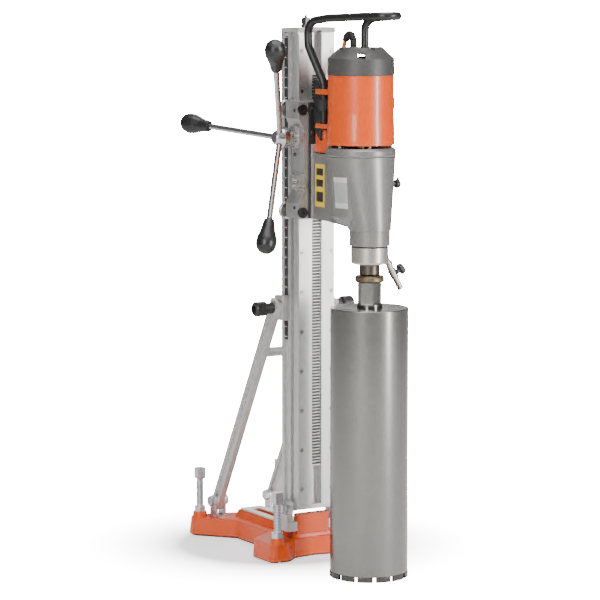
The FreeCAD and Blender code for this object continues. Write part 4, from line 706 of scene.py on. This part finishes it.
# %% Lock, strap and plug
lock_places = [(-66.2, -178, 762)]
grown("lock_centre", heads, "carriage", "brass_fitting", brass, lock_places, facing=[LEFT], Radius=4.5 * mm,
      Height=2.4 * mm, Sides=28, Socket=0.5)
strap_cloth = finish("strap_cloth", (0.02, 0.02, 0.022), (0.035, 0.035, 0.037), 0.8, grain=900,
                     stretch=(1, 1, 3), depth=0.6, spread=0.05)
dress(strap_cloth, "cable_strap")
pin_places = [(58 + side, -254, 709.6) for side in (-9.5, 9.5)]
grown("pin_ends", heads, "carriage", "zinc_hardware", bright_screw, pin_places, facing=[(0, 0, -1)] * 2,
      Radius=2.35 * mm, Height=1.6 * mm, Sides=20, Socket=0.3)
print("lock centre, strap and pins")

# %% [markdown]
# The mains cable leaves the motor's cap through a bend relief, drops behind the motor, and is wound into a
# hank that a strap holds to the rear grip, because the whole drill travels along the column and the cable
# has to travel with it. Its line is one smooth spline. The drop is listed point by point; the hank's turns
# come from a loop, four wide turns from front to rear and then narrower ones inside them back to the front.

# %% Cable route
CABLE_DIAMETER = 9 * mm
HANK_MIDDLE = Vector((77, -232, 902)) * mm
HALF_RUN = 65.5 * mm
drop = [(0, -262, 1045), (0, -253, 1029), (4, -247, 1012), (14, -244, 995), (28, -244, 980),
        (41, -245.5, 962)]
tail = [(50, -245.5, 862), (50, -247, 846), (52, -252, 828), (56, -254, 811), (58, -254, 799),
        (58, -254, 788)]
wide, narrow = 36 * mm, 27 * mm
layers = [HANK_MIDDLE.y + (step - 1.5) * CABLE_DIAMETER for step in range(4)]
turns = [(wide, y) for y in layers] + [(narrow, y) for y in reversed(layers)]


def fold(sign, start, end):
    """Control points round one end of the hank, from one leg to the other, moving over to the next turn."""
    places = []
    for step in range(4):
        angle = math.radians(22.5 + 45 * step)
        share = (step + 0.5) / 4
        radius = (start[0] + (end[0] - start[0]) * share) / math.cos(math.radians(22.5))
        across = radius * math.cos(angle) * sign
        places.append((HANK_MIDDLE.x + across, start[1] + (end[1] - start[1]) * share,
                       HANK_MIDDLE.z + sign * (HALF_RUN + radius * math.sin(angle))))
    return places


def leg(side, turn, downwards):
    """Three control points along one straight leg."""
    radius, y = turn
    heights = (0.9, 0, -0.9) if downwards else (-0.9, 0, 0.9)
    return [(HANK_MIDDLE.x + side * radius, y, HANK_MIDDLE.z + height * HALF_RUN) for height in heights]


route = [tuple(Vector(point) * mm) for point in drop]
for turn, after in zip(turns, turns[1:]):
    route += leg(-1, turn, True)
    route += fold(-1, turn, turn)
    route += leg(1, turn, False)
    route += fold(1, turn, after)
route += leg(-1, turns[-1], True)[:2]
route += [tuple(Vector(point) * mm) for point in tail]
print("cable route:", len(route), "control points")


# %% Cable
def smooth_tube(name, places, radius, sides=5):
    """A round tube on one smooth open spline."""
    curve = bpy.data.curves.new(name, "CURVE")
    curve.dimensions = "3D"
    curve.bevel_depth = radius
    curve.bevel_resolution = sides
    curve.use_fill_caps = True
    line = curve.splines.new("NURBS")
    line.points.add(len(places) - 1)
    for point, place in zip(line.points, places):
        point.co = (*place, 1)
    line.order_u = 3
    line.use_endpoint_u = True
    line.resolution_u = 5
    thing = bpy.data.objects.new(name, curve)
    scene.collection.objects.link(thing)
    return thing


cable = smooth_tube("mains_cable", route, CABLE_DIAMETER / 2)
cable_orange = finish("cable_orange", (0.66, 0.14, 0.02), (0.56, 0.11, 0.018), 0.42, cloud=40, grain=700,
                      depth=0.12, radius=0.2)
cable.data.materials.append(cable_orange)
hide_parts("cord_tube", "cord_hank")
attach(cable, "carriage")
